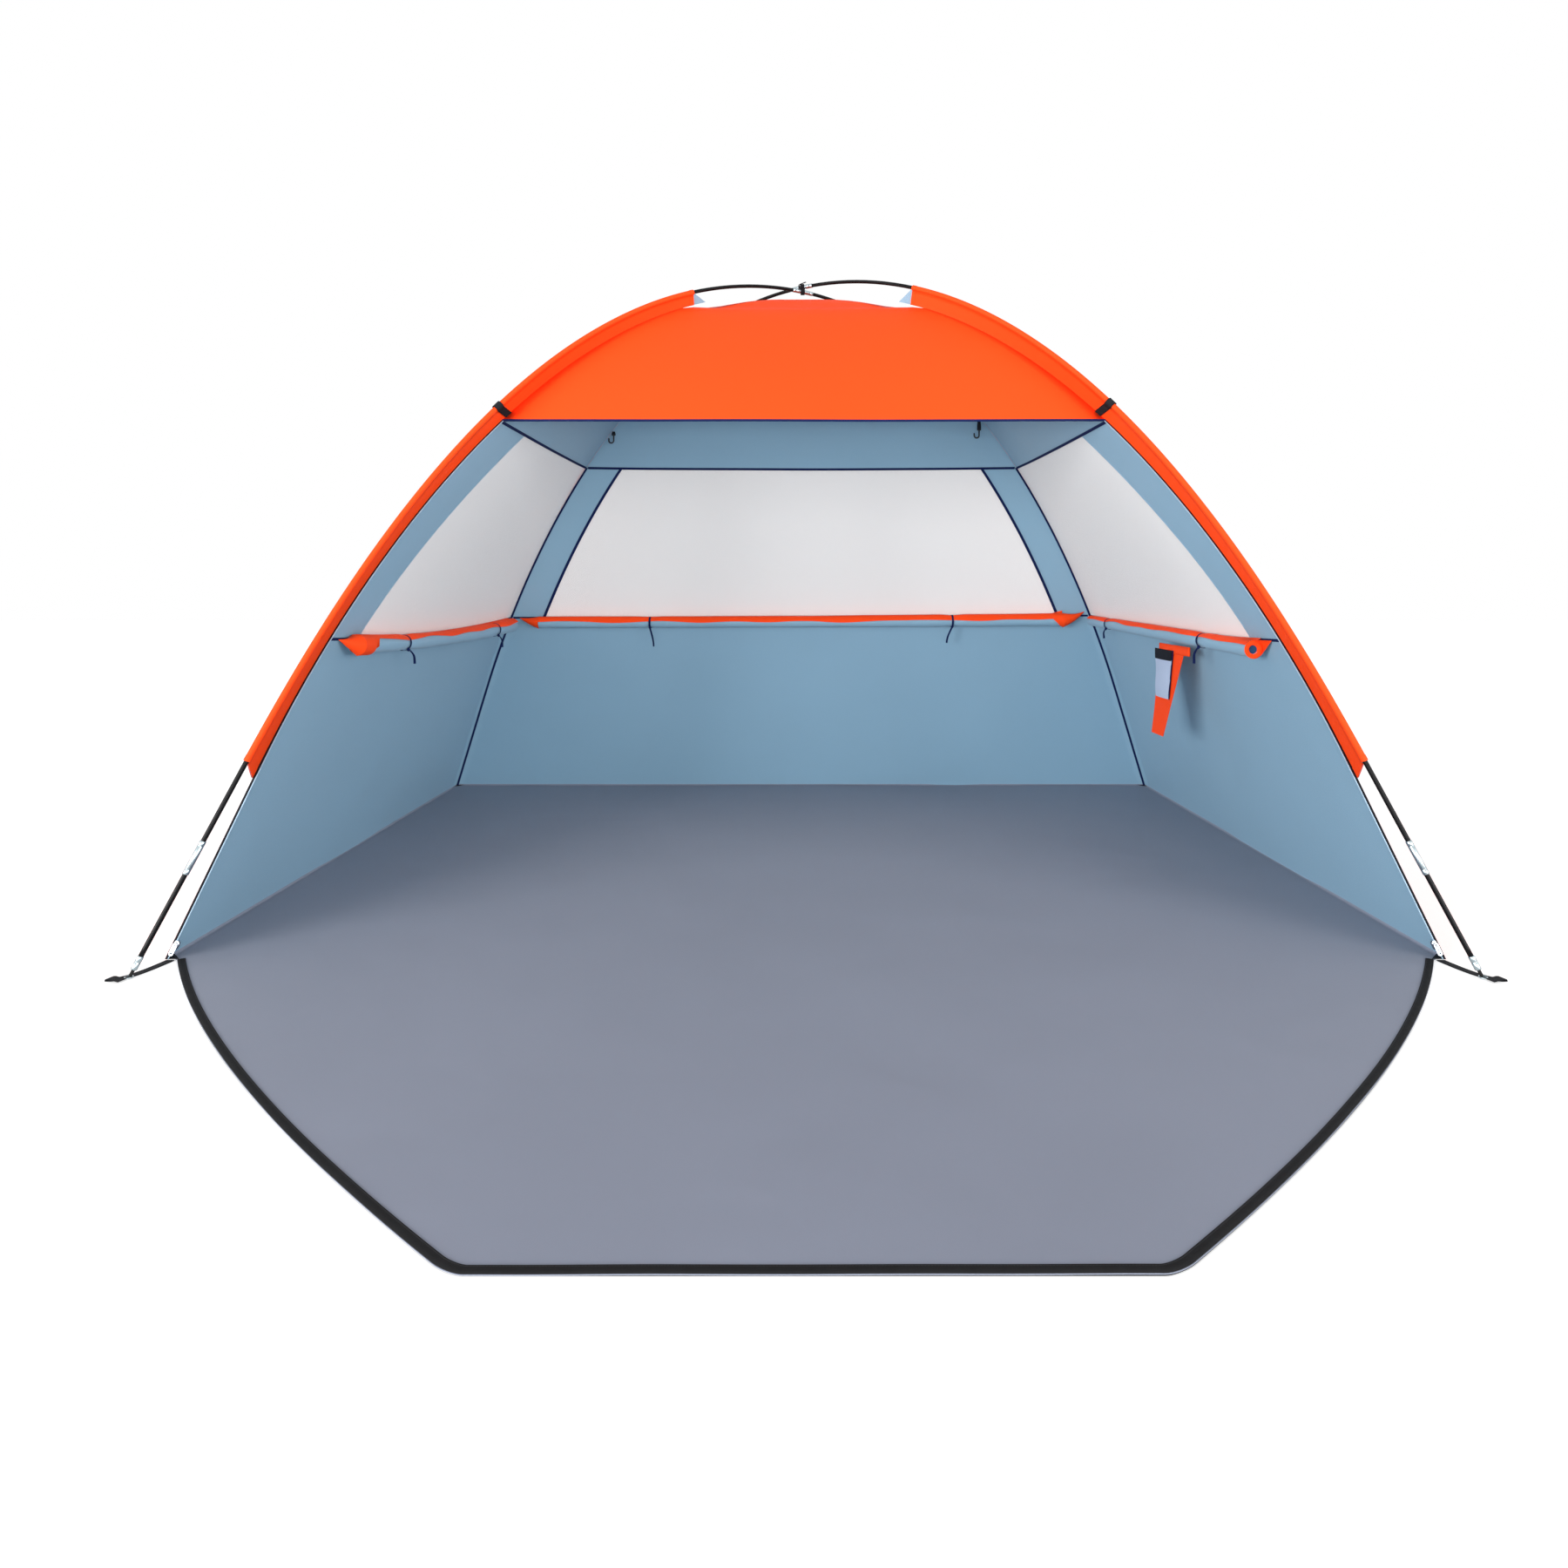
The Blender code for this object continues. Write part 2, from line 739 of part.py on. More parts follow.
def build_slider(word, side, steel):
    """A zip slider: two plates joined past the tape's free edge, with its pull in front."""
    climb = zip_direction(side)
    share = zip_start_height / knee_height
    run = between(1, seam_knee_run_share, share)
    corner = Vector((side * base_half_width * run, -base_half_depth * run, zip_start_height))
    inwards = Vector((-side, 0, 0))
    out = climb.cross(inwards).normalized() * side
    if out.y > 0:
        out = -out
    across = out.cross(climb).normalized()
    if across.x * side > 0:
        across = -across
    free_edge = zip_tape_width + cloth + gap
    profile = [
        (free_edge - slider_width, gap), (free_edge, gap), (free_edge, -cloth - gap),
        (free_edge - slider_width, -cloth - gap), (free_edge - slider_width, -cloth - gap - slider_plate),
        (free_edge + slider_plate, -cloth - gap - slider_plate), (free_edge + slider_plate, gap + slider_plate),
        (free_edge - slider_width, gap + slider_plate)]
    rings = []
    for along in (0, slider_length):
        rings.append([corner + inwards * a + out * b + climb * along for a, b in profile])
    thing = loft(word + "_zip_slider", steel, rings)
    put_origin(thing, corner)
    middle = free_edge - slider_width / 2
    low = corner + inwards * (middle - pull_width / 2) + out * (gap + slider_plate / 2)
    box = []
    hold = slider_length * pull_hold_share
    for along in (hold, hold - pull_length):
        ring = []
        for a, b in ((0, 0), (pull_width, 0), (pull_width, pull_thickness), (0, pull_thickness)):
            ring.append(low + inwards * a + out * b + climb * along)
        box.append(ring)
    pull = loft(word + "_pull_blank", steel, box)
    join_solid(thing, pull)


def join_solid(keep, other):
    """Unite a second closed shape with a piece, and remove the shape."""
    bpy.context.view_layer.update()
    union = keep.modifiers.new("union", "BOOLEAN")
    union.operation = "UNION"
    union.solver = "EXACT"
    union.object = other
    other.hide_render = True
    other.display_type = "WIRE"


# Window flaps and their ties

def wall_run(height):
    """The lower wall's run at a height, read between its rows."""
    for lower, upper in zip(lower_rows, lower_rows[1:]):
        if upper[1] * ridge_height >= height:
            share = (height / ridge_height - lower[1]) / (upper[1] - lower[1])
            return between(lower[0], upper[0], share)
    return lower_rows[-1][0]


def wall_hold(half_size, height, stand_off):
    """Where a level roll rests against a leaning wall's inside: its distance out and its height."""
    run = wall_run(height)
    slope = (wall_run(height - roll_radius) - run) * half_size / roll_radius
    lean = math.atan(slope)
    inside = (half_size - cloth) * run
    reach = roll_radius + stand_off
    return inside - reach * math.cos(lean), height - reach * math.sin(lean)


roll_stand_off = tie_cloth + 2 * gap
side_roll = wall_hold(base_half_width, roll_height, roll_stand_off)
back_roll = wall_hold(base_half_depth, roll_height, roll_stand_off)


def build_roll(name, material, start, end):
    """A rolled flap of cloth, a little flattened where its loose edge lies on top."""
    axis = (end - start).normalized()
    across = Vector((0, 0, 1)).cross(axis)
    rings = []
    sides = roll_sides
    for centre in (start, end):
        ring = []
        for index in range(sides):
            angle = math.radians(360) * index / sides
            ring.append(centre + across * math.cos(angle) * roll_radius
                        + Vector((0, 0, 1)) * math.sin(angle) * roll_radius)
        rings.append(ring)
    return loft(name, material, rings)


def build_tie(name, material, centre, axis, inwards):
    """A tape round a roll, knotted on the room side, with a tail that hangs down."""
    up = Vector((0, 0, 1))
    inner = roll_radius + gap
    outer = inner + tie_cloth
    pairs = [(inwards * inner - up * tie_tail_length, inwards * outer - up * tie_tail_length)]
    for index in range(roll_sides):
        angle = math.radians(360) * index / roll_sides
        turned = inwards * math.cos(angle) + up * math.sin(angle)
        pairs.append((turned * inner, turned * outer))

    def place(row, column, depth):
        first, second = pairs[round(column * (len(pairs) - 1))]
        spot = second if depth else first
        return centre + axis * between(-tie_width / 2, tie_width / 2, row) + spot
    return slab(name, material, 1, len(pairs) - 1, place)


def build_rolls(material, tape):
    side_out, side_up = side_roll
    back_out, back_up = back_roll
    run = seam_arch.run_at(roll_height) / seam_arch.run
    front = -base_half_depth * run + side_roll_front_inset
    rear = back_out - roll_radius - tie_cloth - 2 * gap
    along = Vector((0, 1, 0))
    for side, word in ((-1, "left"), (1, "right")):
        start = Vector((side * side_out, front, side_up))
        end = Vector((side * side_out, rear, side_up))
        build_roll(word + "_window_flap_roll", material, start, end)
        inwards = Vector((-side, 0, 0))
        for place, tag in ((front + side_tie_front_inset, "front"), (rear - side_tie_rear_inset, "rear")):
            centre = Vector((side * side_out, place, side_up))
            build_tie(word + "_roll_tie_" + tag, tape, centre, along, inwards)
    half = base_half_width * run - cloth - back_roll_inset
    start = Vector((-half, back_out, back_up))
    build_roll("back_window_flap_roll", material, start, Vector((half, back_out, back_up)))
    for side, tag in ((-1, "left"), (1, "right")):
        centre = Vector((side * (half - back_tie_inset), back_out, back_up))
        build_tie("back_roll_tie_" + tag, tape, centre, Vector((1, 0, 0)), Vector((0, -1, 0)))


# Loose pieces that hang

def extrude_outline(name, material, outline, back, front):
    """A flat shape in an upright plane, given a thickness between two offsets."""
    return loft(name, material, [[point + back for point in outline], [point + front for point in outline]])


def build_strap(material):
    """A strap with a wide head, hung from the underside of the right window roll.

    It narrows to its foot, which hangs further back than the head.
    """
    out, up = side_roll
    top = up - roll_radius - swing_gap
    head = strap_head_width / 2
    low = top - strap_head_depth
    foot = top - strap_length
    rear_foot = head + strap_lean
    shape = [(-head, top), (head, top), (head, low), (rear_foot, foot),
             (rear_foot - strap_foot_width, foot), (head - strap_top_width, low), (-head, low)]
    outline = [Vector((out, strap_y + along, height)) for along, height in shape]
    thick = Vector((strap_thickness / 2, 0, 0))
    strap = extrude_outline("hanging_strap", material, outline, -thick, thick)
    put_origin(strap, (out, strap_y, top - swing_drop))


def ceiling_height(across, along):
    """Height of the canopy's inside over a point, read between the roof's rows."""
    run = max(across / (base_half_width - cloth), along / (base_half_depth - cloth))
    rows = roof_rows()
    for outer, inner in zip(rows, rows[1:]):
        if inner[0] <= run:
            share = (outer[0] - run) / (outer[0] - inner[0])
            return (ridge_height - cloth) * between(outer[1], inner[1], share)
    return 0


def build_hook(word, side, run_share, tab_length, material):
    """A lantern hook: a sewn tab with an open wire hook below it, near a rear ceiling seam."""
    across = side * base_half_width * run_share
    along = base_half_depth * run_share
    edge = hook_tab_top_width / 2
    thick = hook_tab_thickness / 2
    top = ceiling_height(abs(across) + edge, along + thick) - swing_gap
    half = hook_tab_width / 2
    foot = top - tab_length
    shoulder = between(top, foot, hook_tab_taper_share)
    shape = [(-edge, top), (edge, top), (half, shoulder), (half, foot), (-half, foot), (-half, shoulder)]
    outline = [Vector((across + x, along, z)) for x, z in shape]
    offset = Vector((0, thick, 0))
    tab = extrude_outline("ceiling_hook_" + word, material, outline, -offset, offset)
    put_origin(tab, (across, along, top - swing_drop))
    path = [Vector((across, along, foot + hook_wire_radius)), Vector((across, along, foot - hook_shank_length))]
    centre = path[-1] + Vector((-hook_bend_radius, 0, 0))
    turns = 6
    for index in range(1, turns + 1):
        angle = math.radians(180) * index / turns
        path.append(centre + Vector((math.cos(angle), 0, -math.sin(angle))) * hook_bend_radius)
    path.append(path[-1] + Vector((0, 0, hook_lip_length)))
    wire = bent_wire("hook_wire_" + word, material, path, hook_wire_radius)
    join_solid(tab, wire)


def bent_wire(name, material, path, radius):
    """A round wire along a path that lies in one plane across Y."""
    rings = []
    sides = 8
    depth = Vector((0, 1, 0))
    for index, point in enumerate(path):
        before = path[max(index - 1, 0)]
        after = path[min(index + 1, len(path) - 1)]
        ahead = (after - before).normalized()
        aside = depth.cross(ahead)
        ring = []
        for turn in range(sides):
            angle = math.radians(360) * turn / sides
            ring.append(point + (aside * math.cos(angle) + depth * math.sin(angle)) * radius)
        rings.append(ring)
    return loft(name, material, rings)


# Corner straps

def build_corner_straps(material):
    """Webbing from each corner of the groundsheet to its pole foot, ending in a peg loop."""
    steps = 8
    for corner, tag in corner_words.items():
        side, end = corner
        start = Vector((base_half_width - corner_strap_inset, base_half_depth + gap))
        turn = Vector((foot_half_width, foot_half_depth + corner_strap_turn))
        tip = Vector((foot_half_width + peg_loop_reach, foot_half_depth + peg_loop_setback))
        middle = []
        for step in range(steps + 1):
            share = step / steps
            middle.append(start.lerp(turn, share).lerp(turn.lerp(tip, share), share))

        def place(row, column, depth):
            index = round(row * steps)
            before = middle[max(index - 1, 0)]
            after = middle[min(index + 1, steps)]
            ahead = (after - before).normalized()
            if index == 0:
                ahead = Vector((0, 1))
            aside = Vector((ahead.y, -ahead.x)) * between(-corner_strap_width / 2, corner_strap_width / 2, column)
            spot = middle[index] + aside
            return Vector((side * spot.x, end * spot.y, webbing * depth))
        slab("corner_strap_" + tag, material, steps, 1, place)


clear_scene()
orange_cloth = finish("orange_cloth", cloth_out, 0.75)
inner_cloth = finish("blue_grey_cloth", cloth_in, 0.8)
window_net = finish("window_net", net_grey, 0.8)
floor_cloth = finish("floor_cloth", floor_grey, 0.6)
black_tape = finish("black_tape", black, 0.7)
black_rod = finish("black_rod", black, 0.35)
black_plastic = finish("black_plastic", black, 0.5)
elastic = finish("elastic", net_grey, 0.8)
steel = finish("steel", steel_grey, 0.3, 1.0)
build_floor(floor_cloth)
build_flap(floor_cloth)
build_walls(inner_cloth, window_net)
build_roof(orange_cloth)
falling = [(-1, -1), (1, 1)]
rising = [(1, -1), (-1, 1)]
build_pole(low_pole, falling, "low_pole", black_rod, steel, elastic)
build_pole(high_pole, rising, "high_pole", black_rod, steel, elastic)
build_lashing(black_tape)
build_sleeves([(low_pole, falling), (high_pole, rising)], orange_cloth, black_tape)
build_zips(black_tape, steel)
build_rolls(inner_cloth, black_tape)
build_strap(orange_cloth)
build_hook("left", -1, left_hook_run_share, left_tab_length, black_plastic)
build_hook("right", 1, right_hook_run_share, right_tab_length, black_plastic)
build_corner_straps(black_tape)
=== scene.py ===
"""The looks of a beach tent on crossed poles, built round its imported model.

Metres, +Z up, with the open front facing -Y and the origin on the ground under the crossing.
"""
import json
import math

import bmesh
import bpy
from mathutils import Matrix, Vector, geometry, noise

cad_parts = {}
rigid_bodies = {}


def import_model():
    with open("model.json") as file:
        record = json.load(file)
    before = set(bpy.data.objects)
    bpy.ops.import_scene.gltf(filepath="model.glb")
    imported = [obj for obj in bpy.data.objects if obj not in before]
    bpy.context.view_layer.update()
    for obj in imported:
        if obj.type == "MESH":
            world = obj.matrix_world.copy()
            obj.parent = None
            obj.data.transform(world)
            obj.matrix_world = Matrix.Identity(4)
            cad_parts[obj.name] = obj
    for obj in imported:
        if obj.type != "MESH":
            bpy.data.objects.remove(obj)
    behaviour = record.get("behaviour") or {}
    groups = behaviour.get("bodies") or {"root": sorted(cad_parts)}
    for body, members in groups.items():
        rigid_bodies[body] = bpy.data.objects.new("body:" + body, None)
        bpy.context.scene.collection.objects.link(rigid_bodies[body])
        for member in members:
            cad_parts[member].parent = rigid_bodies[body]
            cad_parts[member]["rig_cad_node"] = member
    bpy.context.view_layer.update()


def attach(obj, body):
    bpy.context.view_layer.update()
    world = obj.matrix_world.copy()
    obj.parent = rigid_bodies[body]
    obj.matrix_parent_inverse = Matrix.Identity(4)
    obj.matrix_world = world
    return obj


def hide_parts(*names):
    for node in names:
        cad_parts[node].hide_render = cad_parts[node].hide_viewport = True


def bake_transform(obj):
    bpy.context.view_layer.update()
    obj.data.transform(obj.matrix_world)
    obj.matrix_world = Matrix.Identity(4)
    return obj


for leftover in list(bpy.data.objects):
    bpy.data.objects.remove(leftover, do_unlink=True)
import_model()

# Camera: it stands in front of the flap at about a child's eye height and looks
# level into the tent. The shift keeps the uprights upright, as the photograph has them.
lens_data = bpy.data.cameras.new("camera")
lens_data.lens = 21.89
lens_data.sensor_width = 36
lens_data.shift_x = -0.0072
lens_data.shift_y = -0.1283
camera = bpy.data.objects.new("camera", lens_data)
camera.location = (-0.018, -2.405, 0.666)
camera.rotation_euler = (math.radians(90), 0, 0)
bpy.context.scene.collection.objects.link(camera)
bpy.context.scene.camera = camera


# Groundsheet: grey-blue coated polyester, heavier than the canopy, sewn to the walls
# along three sides. It lies on the ground and runs on past the opening as the flap.
base_half_width = 1.130
base_half_depth = 0.725
fold_y = -0.7256
fold_reach = 0.016
floor_top = 0.0019
floor_cloth_thickness = 0.0009
floor_seam_gap = 0.0008
floor_rise = 0.0016
floor_ripple = 0.0007
floor_lift = 0.0006
floor_edge_fade = 0.15


def between(start, end, share):
    return start + (end - start) * share


def cut_cloth(rows, columns, place):
    """A piece of cloth as a grid. place(row share, column share) gives each corner its spot in the
    tent and its spot on the flat cloth, which is kept as a UV map for the weave to follow."""
    work = bmesh.new()
    flat = work.loops.layers.uv.new("flat")
    bmesh.ops.create_grid(work, x_segments=columns, y_segments=rows, size=1)
    for corner in work.verts:
        spot, on_cloth = place((corner.co.y + 1) / 2, (corner.co.x + 1) / 2)
        corner.co = spot
        for loop in corner.link_loops:
            loop[flat].uv = on_cloth
    return work


def make_piece(name, work, body, materials):
    """Turn a finished mesh into a smooth-shaded piece that rides on a body of the frame, or on none.
    Its cut edges stay sharp, so the shading runs level up to them."""
    for face in work.faces:
        face.smooth = True
    for edge in work.edges:
        edge.smooth = not edge.is_boundary
    mesh = bpy.data.meshes.new(name)
    work.to_mesh(mesh)
    work.free()
    for material in materials:
        mesh.materials.append(material)
    piece = bpy.data.objects.new(name, mesh)
    bpy.context.scene.collection.objects.link(piece)
    if body:
        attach(piece, body)
    return piece


def thicken(piece, thickness, second_material=0, side=-1.0):
    """Give a one-sided sheet its thickness, with another material on its back where it has one."""
    shell = piece.modifiers.new("thickness", "SOLIDIFY")
    shell.thickness = thickness
    shell.offset = side
    shell.material_offset = second_material
    shell.use_quality_normals = True


class Finish:
    """A material in the making. Its patterns lie in the tent's space or on the piece's own flat cloth."""

    def __init__(self, name):
        self.material = bpy.data.materials.new(name)
        self.material.use_nodes = True
        self.nodes = self.material.node_tree.nodes
        self.links = self.material.node_tree.links
        place = self.nodes.new("ShaderNodeTexCoord")
        self.in_tent = place.outputs["Object"]
        self.on_cloth = place.outputs["UV"]

    def join(self, node, inputs):
        """Give each input of a node its value, or link it to the output that feeds it."""
        for key, value in inputs.items():
            if isinstance(value, bpy.types.NodeSocket):
                self.links.new(value, node.inputs[key])
            else:
                node.inputs[key].default_value = value

    def add(self, kind, output, inputs, **settings):
        """Add a node, and give back the one of its outputs that is wanted."""
        node = self.nodes.new("ShaderNode" + kind)
        for setting, value in settings.items():
            setattr(node, setting, value)
        self.join(node, inputs)
        return node.outputs[output]

    def surface(self, inputs):
        self.join(self.nodes["Principled BSDF"], inputs)

    def grain(self, scale, detail, **more):
        """Soft random specks through the piece."""
        return self.add("TexNoise", "Fac", {"Vector": self.in_tent, "Scale": scale, "Detail": detail, **more})

    def threads(self, direction, pitch, distortion, **more):
        """Waves over the flat cloth, one to each pitch: at scale 1 they turn 20 radians to the metre."""
        scale = math.radians(360) / (20 * pitch)
        return self.add("TexWave", "Fac", {"Vector": self.on_cloth, "Scale": scale, "Distortion": distortion,
                                           **more}, bands_direction=direction)

    def spread(self, value, low, high, **more):
        """Stretch a value from 0 to 1 so that it runs from low to high."""
        return self.add("MapRange", "Result", {"Value": value, "To Min": low, "To Max": high, **more})

    def combine(self, operation, *values):
        return self.add("Math", 0, dict(enumerate(values)), operation=operation)

    def tint(self, colour, tone):
        """A colour made lighter and darker by a tone."""
        return self.add("Mix", "Result", {"Factor": 1, "A": (*colour, 1), "B": tone},
                        data_type="RGBA", blend_type="MULTIPLY")

    def relief(self, height, distance, strength, **more):
        return self.add("Bump", "Normal", {"Height": height, "Distance": distance, "Strength": strength,
                                           **more})


def cloth_finish(name, colour, thread, roughness, crease_depth, sheen=0.1, gloss=0.25):
    """Woven coated cloth: plain weave at the thread's pitch, soft creases, and faint uneven dye."""
    cloth = Finish(name)
    wide_tone = cloth.spread(cloth.grain(2.2, 2), 0.95, 1.05)
    fine_tone = cloth.spread(cloth.grain(900, 1), 0.97, 1.03)
    dye = cloth.combine("MULTIPLY", wide_tone, fine_tone)
    warp = cloth.threads("X", thread, 0.6, Detail=0)
    weft = cloth.threads("Y", thread, 0.6, Detail=0)
    weave = cloth.relief(cloth.combine("MAXIMUM", warp, weft), thread * 0.25, 0.5)
    creases = cloth.grain(5, 3, Roughness=0.4, Distortion=0.4)
    cloth.surface({
        "Base Color": cloth.tint(colour, dye), "Roughness": roughness, "Sheen Weight": sheen,
        "Specular IOR Level": gloss, "Normal": cloth.relief(creases, crease_depth, 1, Normal=weave)})
    return cloth.material


def floor_height(x, y):
    """The sheet lies almost flat: low soft rises where it was folded and trodden."""
    rise = noise.noise(Vector((x * 2.1, y * 2.1, 0.3))) * floor_rise
    rise += noise.noise(Vector((x * 6.5, y * 5.0, 4.2))) * floor_ripple
    edge = min(1, (base_half_width - abs(x)) / floor_edge_fade)
    return floor_top + max(0, rise + floor_lift) * max(0, edge)


floor_cloth = cloth_finish("groundsheet_cloth", colour=(0.224, 0.248, 0.318), thread=0.0009,
                           roughness=0.62, crease_depth=0.004)


def lay_floor(row, column):
    half = base_half_width - floor_seam_gap
    x = between(-half, half, column)
    y = between(fold_y + fold_reach, base_half_depth - floor_seam_gap, row)
    return (x, y, floor_height(x, y)), (x, y)


floor_piece = make_piece(
    "floor_cloth", cut_cloth(60, 90, lay_floor), "tent", [floor_cloth])
thicken(floor_piece, floor_cloth_thickness)
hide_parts("floor_sheet")


# Front flap: the groundsheet's own cloth, cut to a rounded trapezium. It bends up about the front
# edge of the floor in use; here it lies flat and rides on no body. Its first strip is still part of the
# floor.
flap_depth = 0.765
flap_rear_half_width = 1.107
flap_front_half_width = 0.353
flap_side_bulge = 0.055
flap_corner_radius = 0.016


def flap_half_width(out):
    """Half width at a distance out from the fold."""
    share = min(max(out / flap_depth, 0), 1)
    width = between(flap_rear_half_width, flap_front_half_width, share)
    width += flap_side_bulge * 4 * share * (1 - share)
    into_corner = out - (flap_depth - flap_corner_radius)
    if into_corner > 0:
        width -= flap_corner_radius - math.sqrt(max(flap_corner_radius ** 2 - into_corner ** 2, 0))
    return width


flap_rows = [-fold_reach * (1 - step / 4) for step in range(5)]
flap_rows += [(flap_depth - flap_corner_radius) * step / 40 for step in range(1, 41)]
flap_rows += [flap_depth - flap_corner_radius * (1 - math.sin(math.radians(90 * step / 8)))
              for step in range(1, 9)]


def lay_flap(row, column):
    out = flap_rows[round(row * (len(flap_rows) - 1))]
    half = flap_half_width(out)
    if out <= 0:
        share = (out + fold_reach) / fold_reach
        half = between(base_half_width - floor_seam_gap, flap_rear_half_width, share)
    x = between(half, -half, column)
    y = fold_y - out
    return (x, y, floor_height(x, y)), (x, y)


flap_piece = make_piece(
    "flap_cloth", cut_cloth(len(flap_rows) - 1, 90, lay_flap), None, [floor_cloth])
thicken(flap_piece, floor_cloth_thickness)
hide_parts("front_flap")
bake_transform(flap_piece)


# Binding: black grosgrain tape folded over the flap's edge and sewn through. It runs
# down one side, along the front and up the other side, and folds with the flap.
binding_width = 0.0125
binding_low = 0.0004
binding_high = 0.0028
binding_turn = 0.0012
binding_cloth = 0.0004
binding_stitch_inset = 0.0018
binding_stitch_pitch = 0.0032
binding_thread = (0.05, 0.05, 0.055)
webbing_gloss = 0.12
stitch_half_width = 0.0003


def webbing_finish(name, colour, rib, roughness=0.75, stitch=None, edge=None):
    """Woven tape: ribs across it, and light wear. A stitch is (place, pitch, colour) and an edge is
    (width, half width of the tape, colour); both follow the UV map, in metres."""
    tape = Finish(name)
    colour_now = tape.tint(colour, tape.spread(tape.grain(60, 4), 0.75, 1.25))
    across = tape.add("SeparateXYZ", "X", {"Vector": tape.on_cloth})
    along = tape.add("SeparateXYZ", "Y", {"Vector": tape.on_cloth})

    def paint(mask, paint_colour):
        return tape.add("Mix", "Result", {"Factor": mask, "A": colour_now, "B": (*paint_colour, 1)},
                        data_type="RGBA")

    if edge:
        width, half, edge_colour = edge
        away = tape.combine("ABSOLUTE", across)
        colour_now = paint(tape.combine("COMPARE", away, half, width), edge_colour)
    if stitch:
        stitch_place, pitch, thread_colour = stitch
        on_seam = tape.combine("COMPARE", across, stitch_place, stitch_half_width)
        repeat = tape.combine("PINGPONG", along, pitch / 2)
        on_thread = tape.combine("COMPARE", repeat, pitch / 2, pitch * 0.33)
        colour_now = paint(tape.combine("MULTIPLY", on_seam, on_thread), thread_colour)
    ribs = tape.relief(tape.threads("Y", rib, 0.8), rib * 0.2, 0.6)
    tape.surface({"Base Color": colour_now, "Roughness": roughness, "Specular IOR Level": webbing_gloss,
                  "Normal": ribs})
    return tape.material


black_binding = webbing_finish(
    "black_binding", colour=(0.012, 0.012, 0.013), rib=0.0009,
    stitch=(binding_width - binding_stitch_inset, binding_stitch_pitch, binding_thread))


def flap_outline():
    """Points of the flap's edge and the way out from each, from the left of the fold to the right."""
    side = [(-flap_half_width(out), fold_y - out) for out in flap_rows if out > 0]
    side.insert(0, (-flap_half_width(0), fold_y))
    front_half = flap_half_width(flap_depth)
    front = [(between(-front_half, front_half, step / 24), fold_y - flap_depth) for step in range(1, 24)]
    edge = side + front + [(-x, y) for x, y in reversed(side)]
    placed = []
    for index, (x, y) in enumerate(edge):
        before = edge[max(index - 1, 0)]
        after = edge[min(index + 1, len(edge) - 1)]
        ahead = Vector((after[0] - before[0], after[1] - before[1], 0)).normalized()
        placed.append((Vector((x, y, 0)), Vector((ahead.y, -ahead.x, 0))))
    return placed


def running_lengths(points):
    """How far along a line of points each of them is."""
    lengths = [0.0]
    for first, second in zip(points, points[1:]):
        lengths.append(lengths[-1] + (second - first).length)
    return lengths


binding_edge = flap_outline()
binding_lengths = running_lengths([spot for spot, _ in binding_edge])
# Across the tape: in from the edge over the top, round the edge, and back underneath.
binding_section = [
    (binding_width, binding_high - 0.0002), (binding_width * 0.5, binding_high), (binding_turn, binding_high),
    (0, (binding_low + binding_high) / 2), (binding_turn, binding_low), (binding_width, binding_low)]


def fold_binding(row, column):
    index = round(row * (len(binding_edge) - 1))
    edge, outwards = binding_edge[index]
    inset, height = binding_section[round(column * (len(binding_section) - 1))]
    if height > (binding_low + binding_high) / 2:
        height += floor_height(edge.x, edge.y) - floor_top
    spot = edge - outwards * inset
    return (spot.x, spot.y, height), (inset, binding_lengths[index])


binding_piece = make_piece(
    "flap_binding", cut_cloth(len(binding_edge) - 1, len(binding_section) - 1, fold_binding),
    "front_flap", [black_binding])
thicken(binding_piece, binding_cloth)


# Canopy: one skin of thin coated polyester, orange outside and blue-grey inside, with
# its panels sewn along four seams that hang under the poles. Windows are cut out of it.
ridge_height = 1.378
sill_height = 0.565
brow_height = 1.005
wall_foot = 0.0025
canopy_cloth_thickness = 0.0005
seam_knee = (0.891, 0.240)
seam_handles = (0.437, 0.342)
strip_width_sill = 0.123
strip_width_brow = 0.158
pillar_width = 0.107
panel_bow = 0.012
# How far the rolled flaps pull the sill down: at its front or left end, how much more in its
# middle, and at its rear or right end.
sill_drops = {
    "left": (0.006, 0.016, 0.008),
    "right": (0.009, 0.013, 0.001),
    "back": (0.008, 0.002, 0.001),
}
sill_pull_reach = 0.11
least_sill_pull = 0.02
crown_sag = 0.025
crown_sag_reach = 0.32
brow_ease_rows = 8
crown_ease_rows = 6
cloth_ripple = 0.0022
seam_pucker = 0.0012
seam_pucker_reach = 0.06
seam_pucker_rate = 130
panel_join_reach = 0.0004


def bent_line(run, rise, knee, handles, steps=200):
    """A bow from the crown out to a knee and then a straight leg, as points of run and height."""
    crown = Vector((0, rise, 0))
    bend = Vector((run * knee[0], rise * knee[1], 0))
    foot = Vector((run, 0, 0))
    out_of_crown = crown + Vector((run * handles[0], 0, 0))
    into_bend = bend + (bend - foot).normalized() * run * handles[1]
    return geometry.interpolate_bezier(crown, out_of_crown, into_bend, bend, steps) + [foot]


def run_at(line, height):
    for upper, lower in zip(line, line[1:]):
        if lower.y <= height:
            return between(upper.x, lower.x, (upper.y - height) / (upper.y - lower.y))
    return line[-1].x


def height_at(line, run):
    for upper, lower in zip(line, line[1:]):
        if lower.x >= run:
            return between(upper.y, lower.y, (run - upper.x) / (lower.x - upper.x))
    return 0


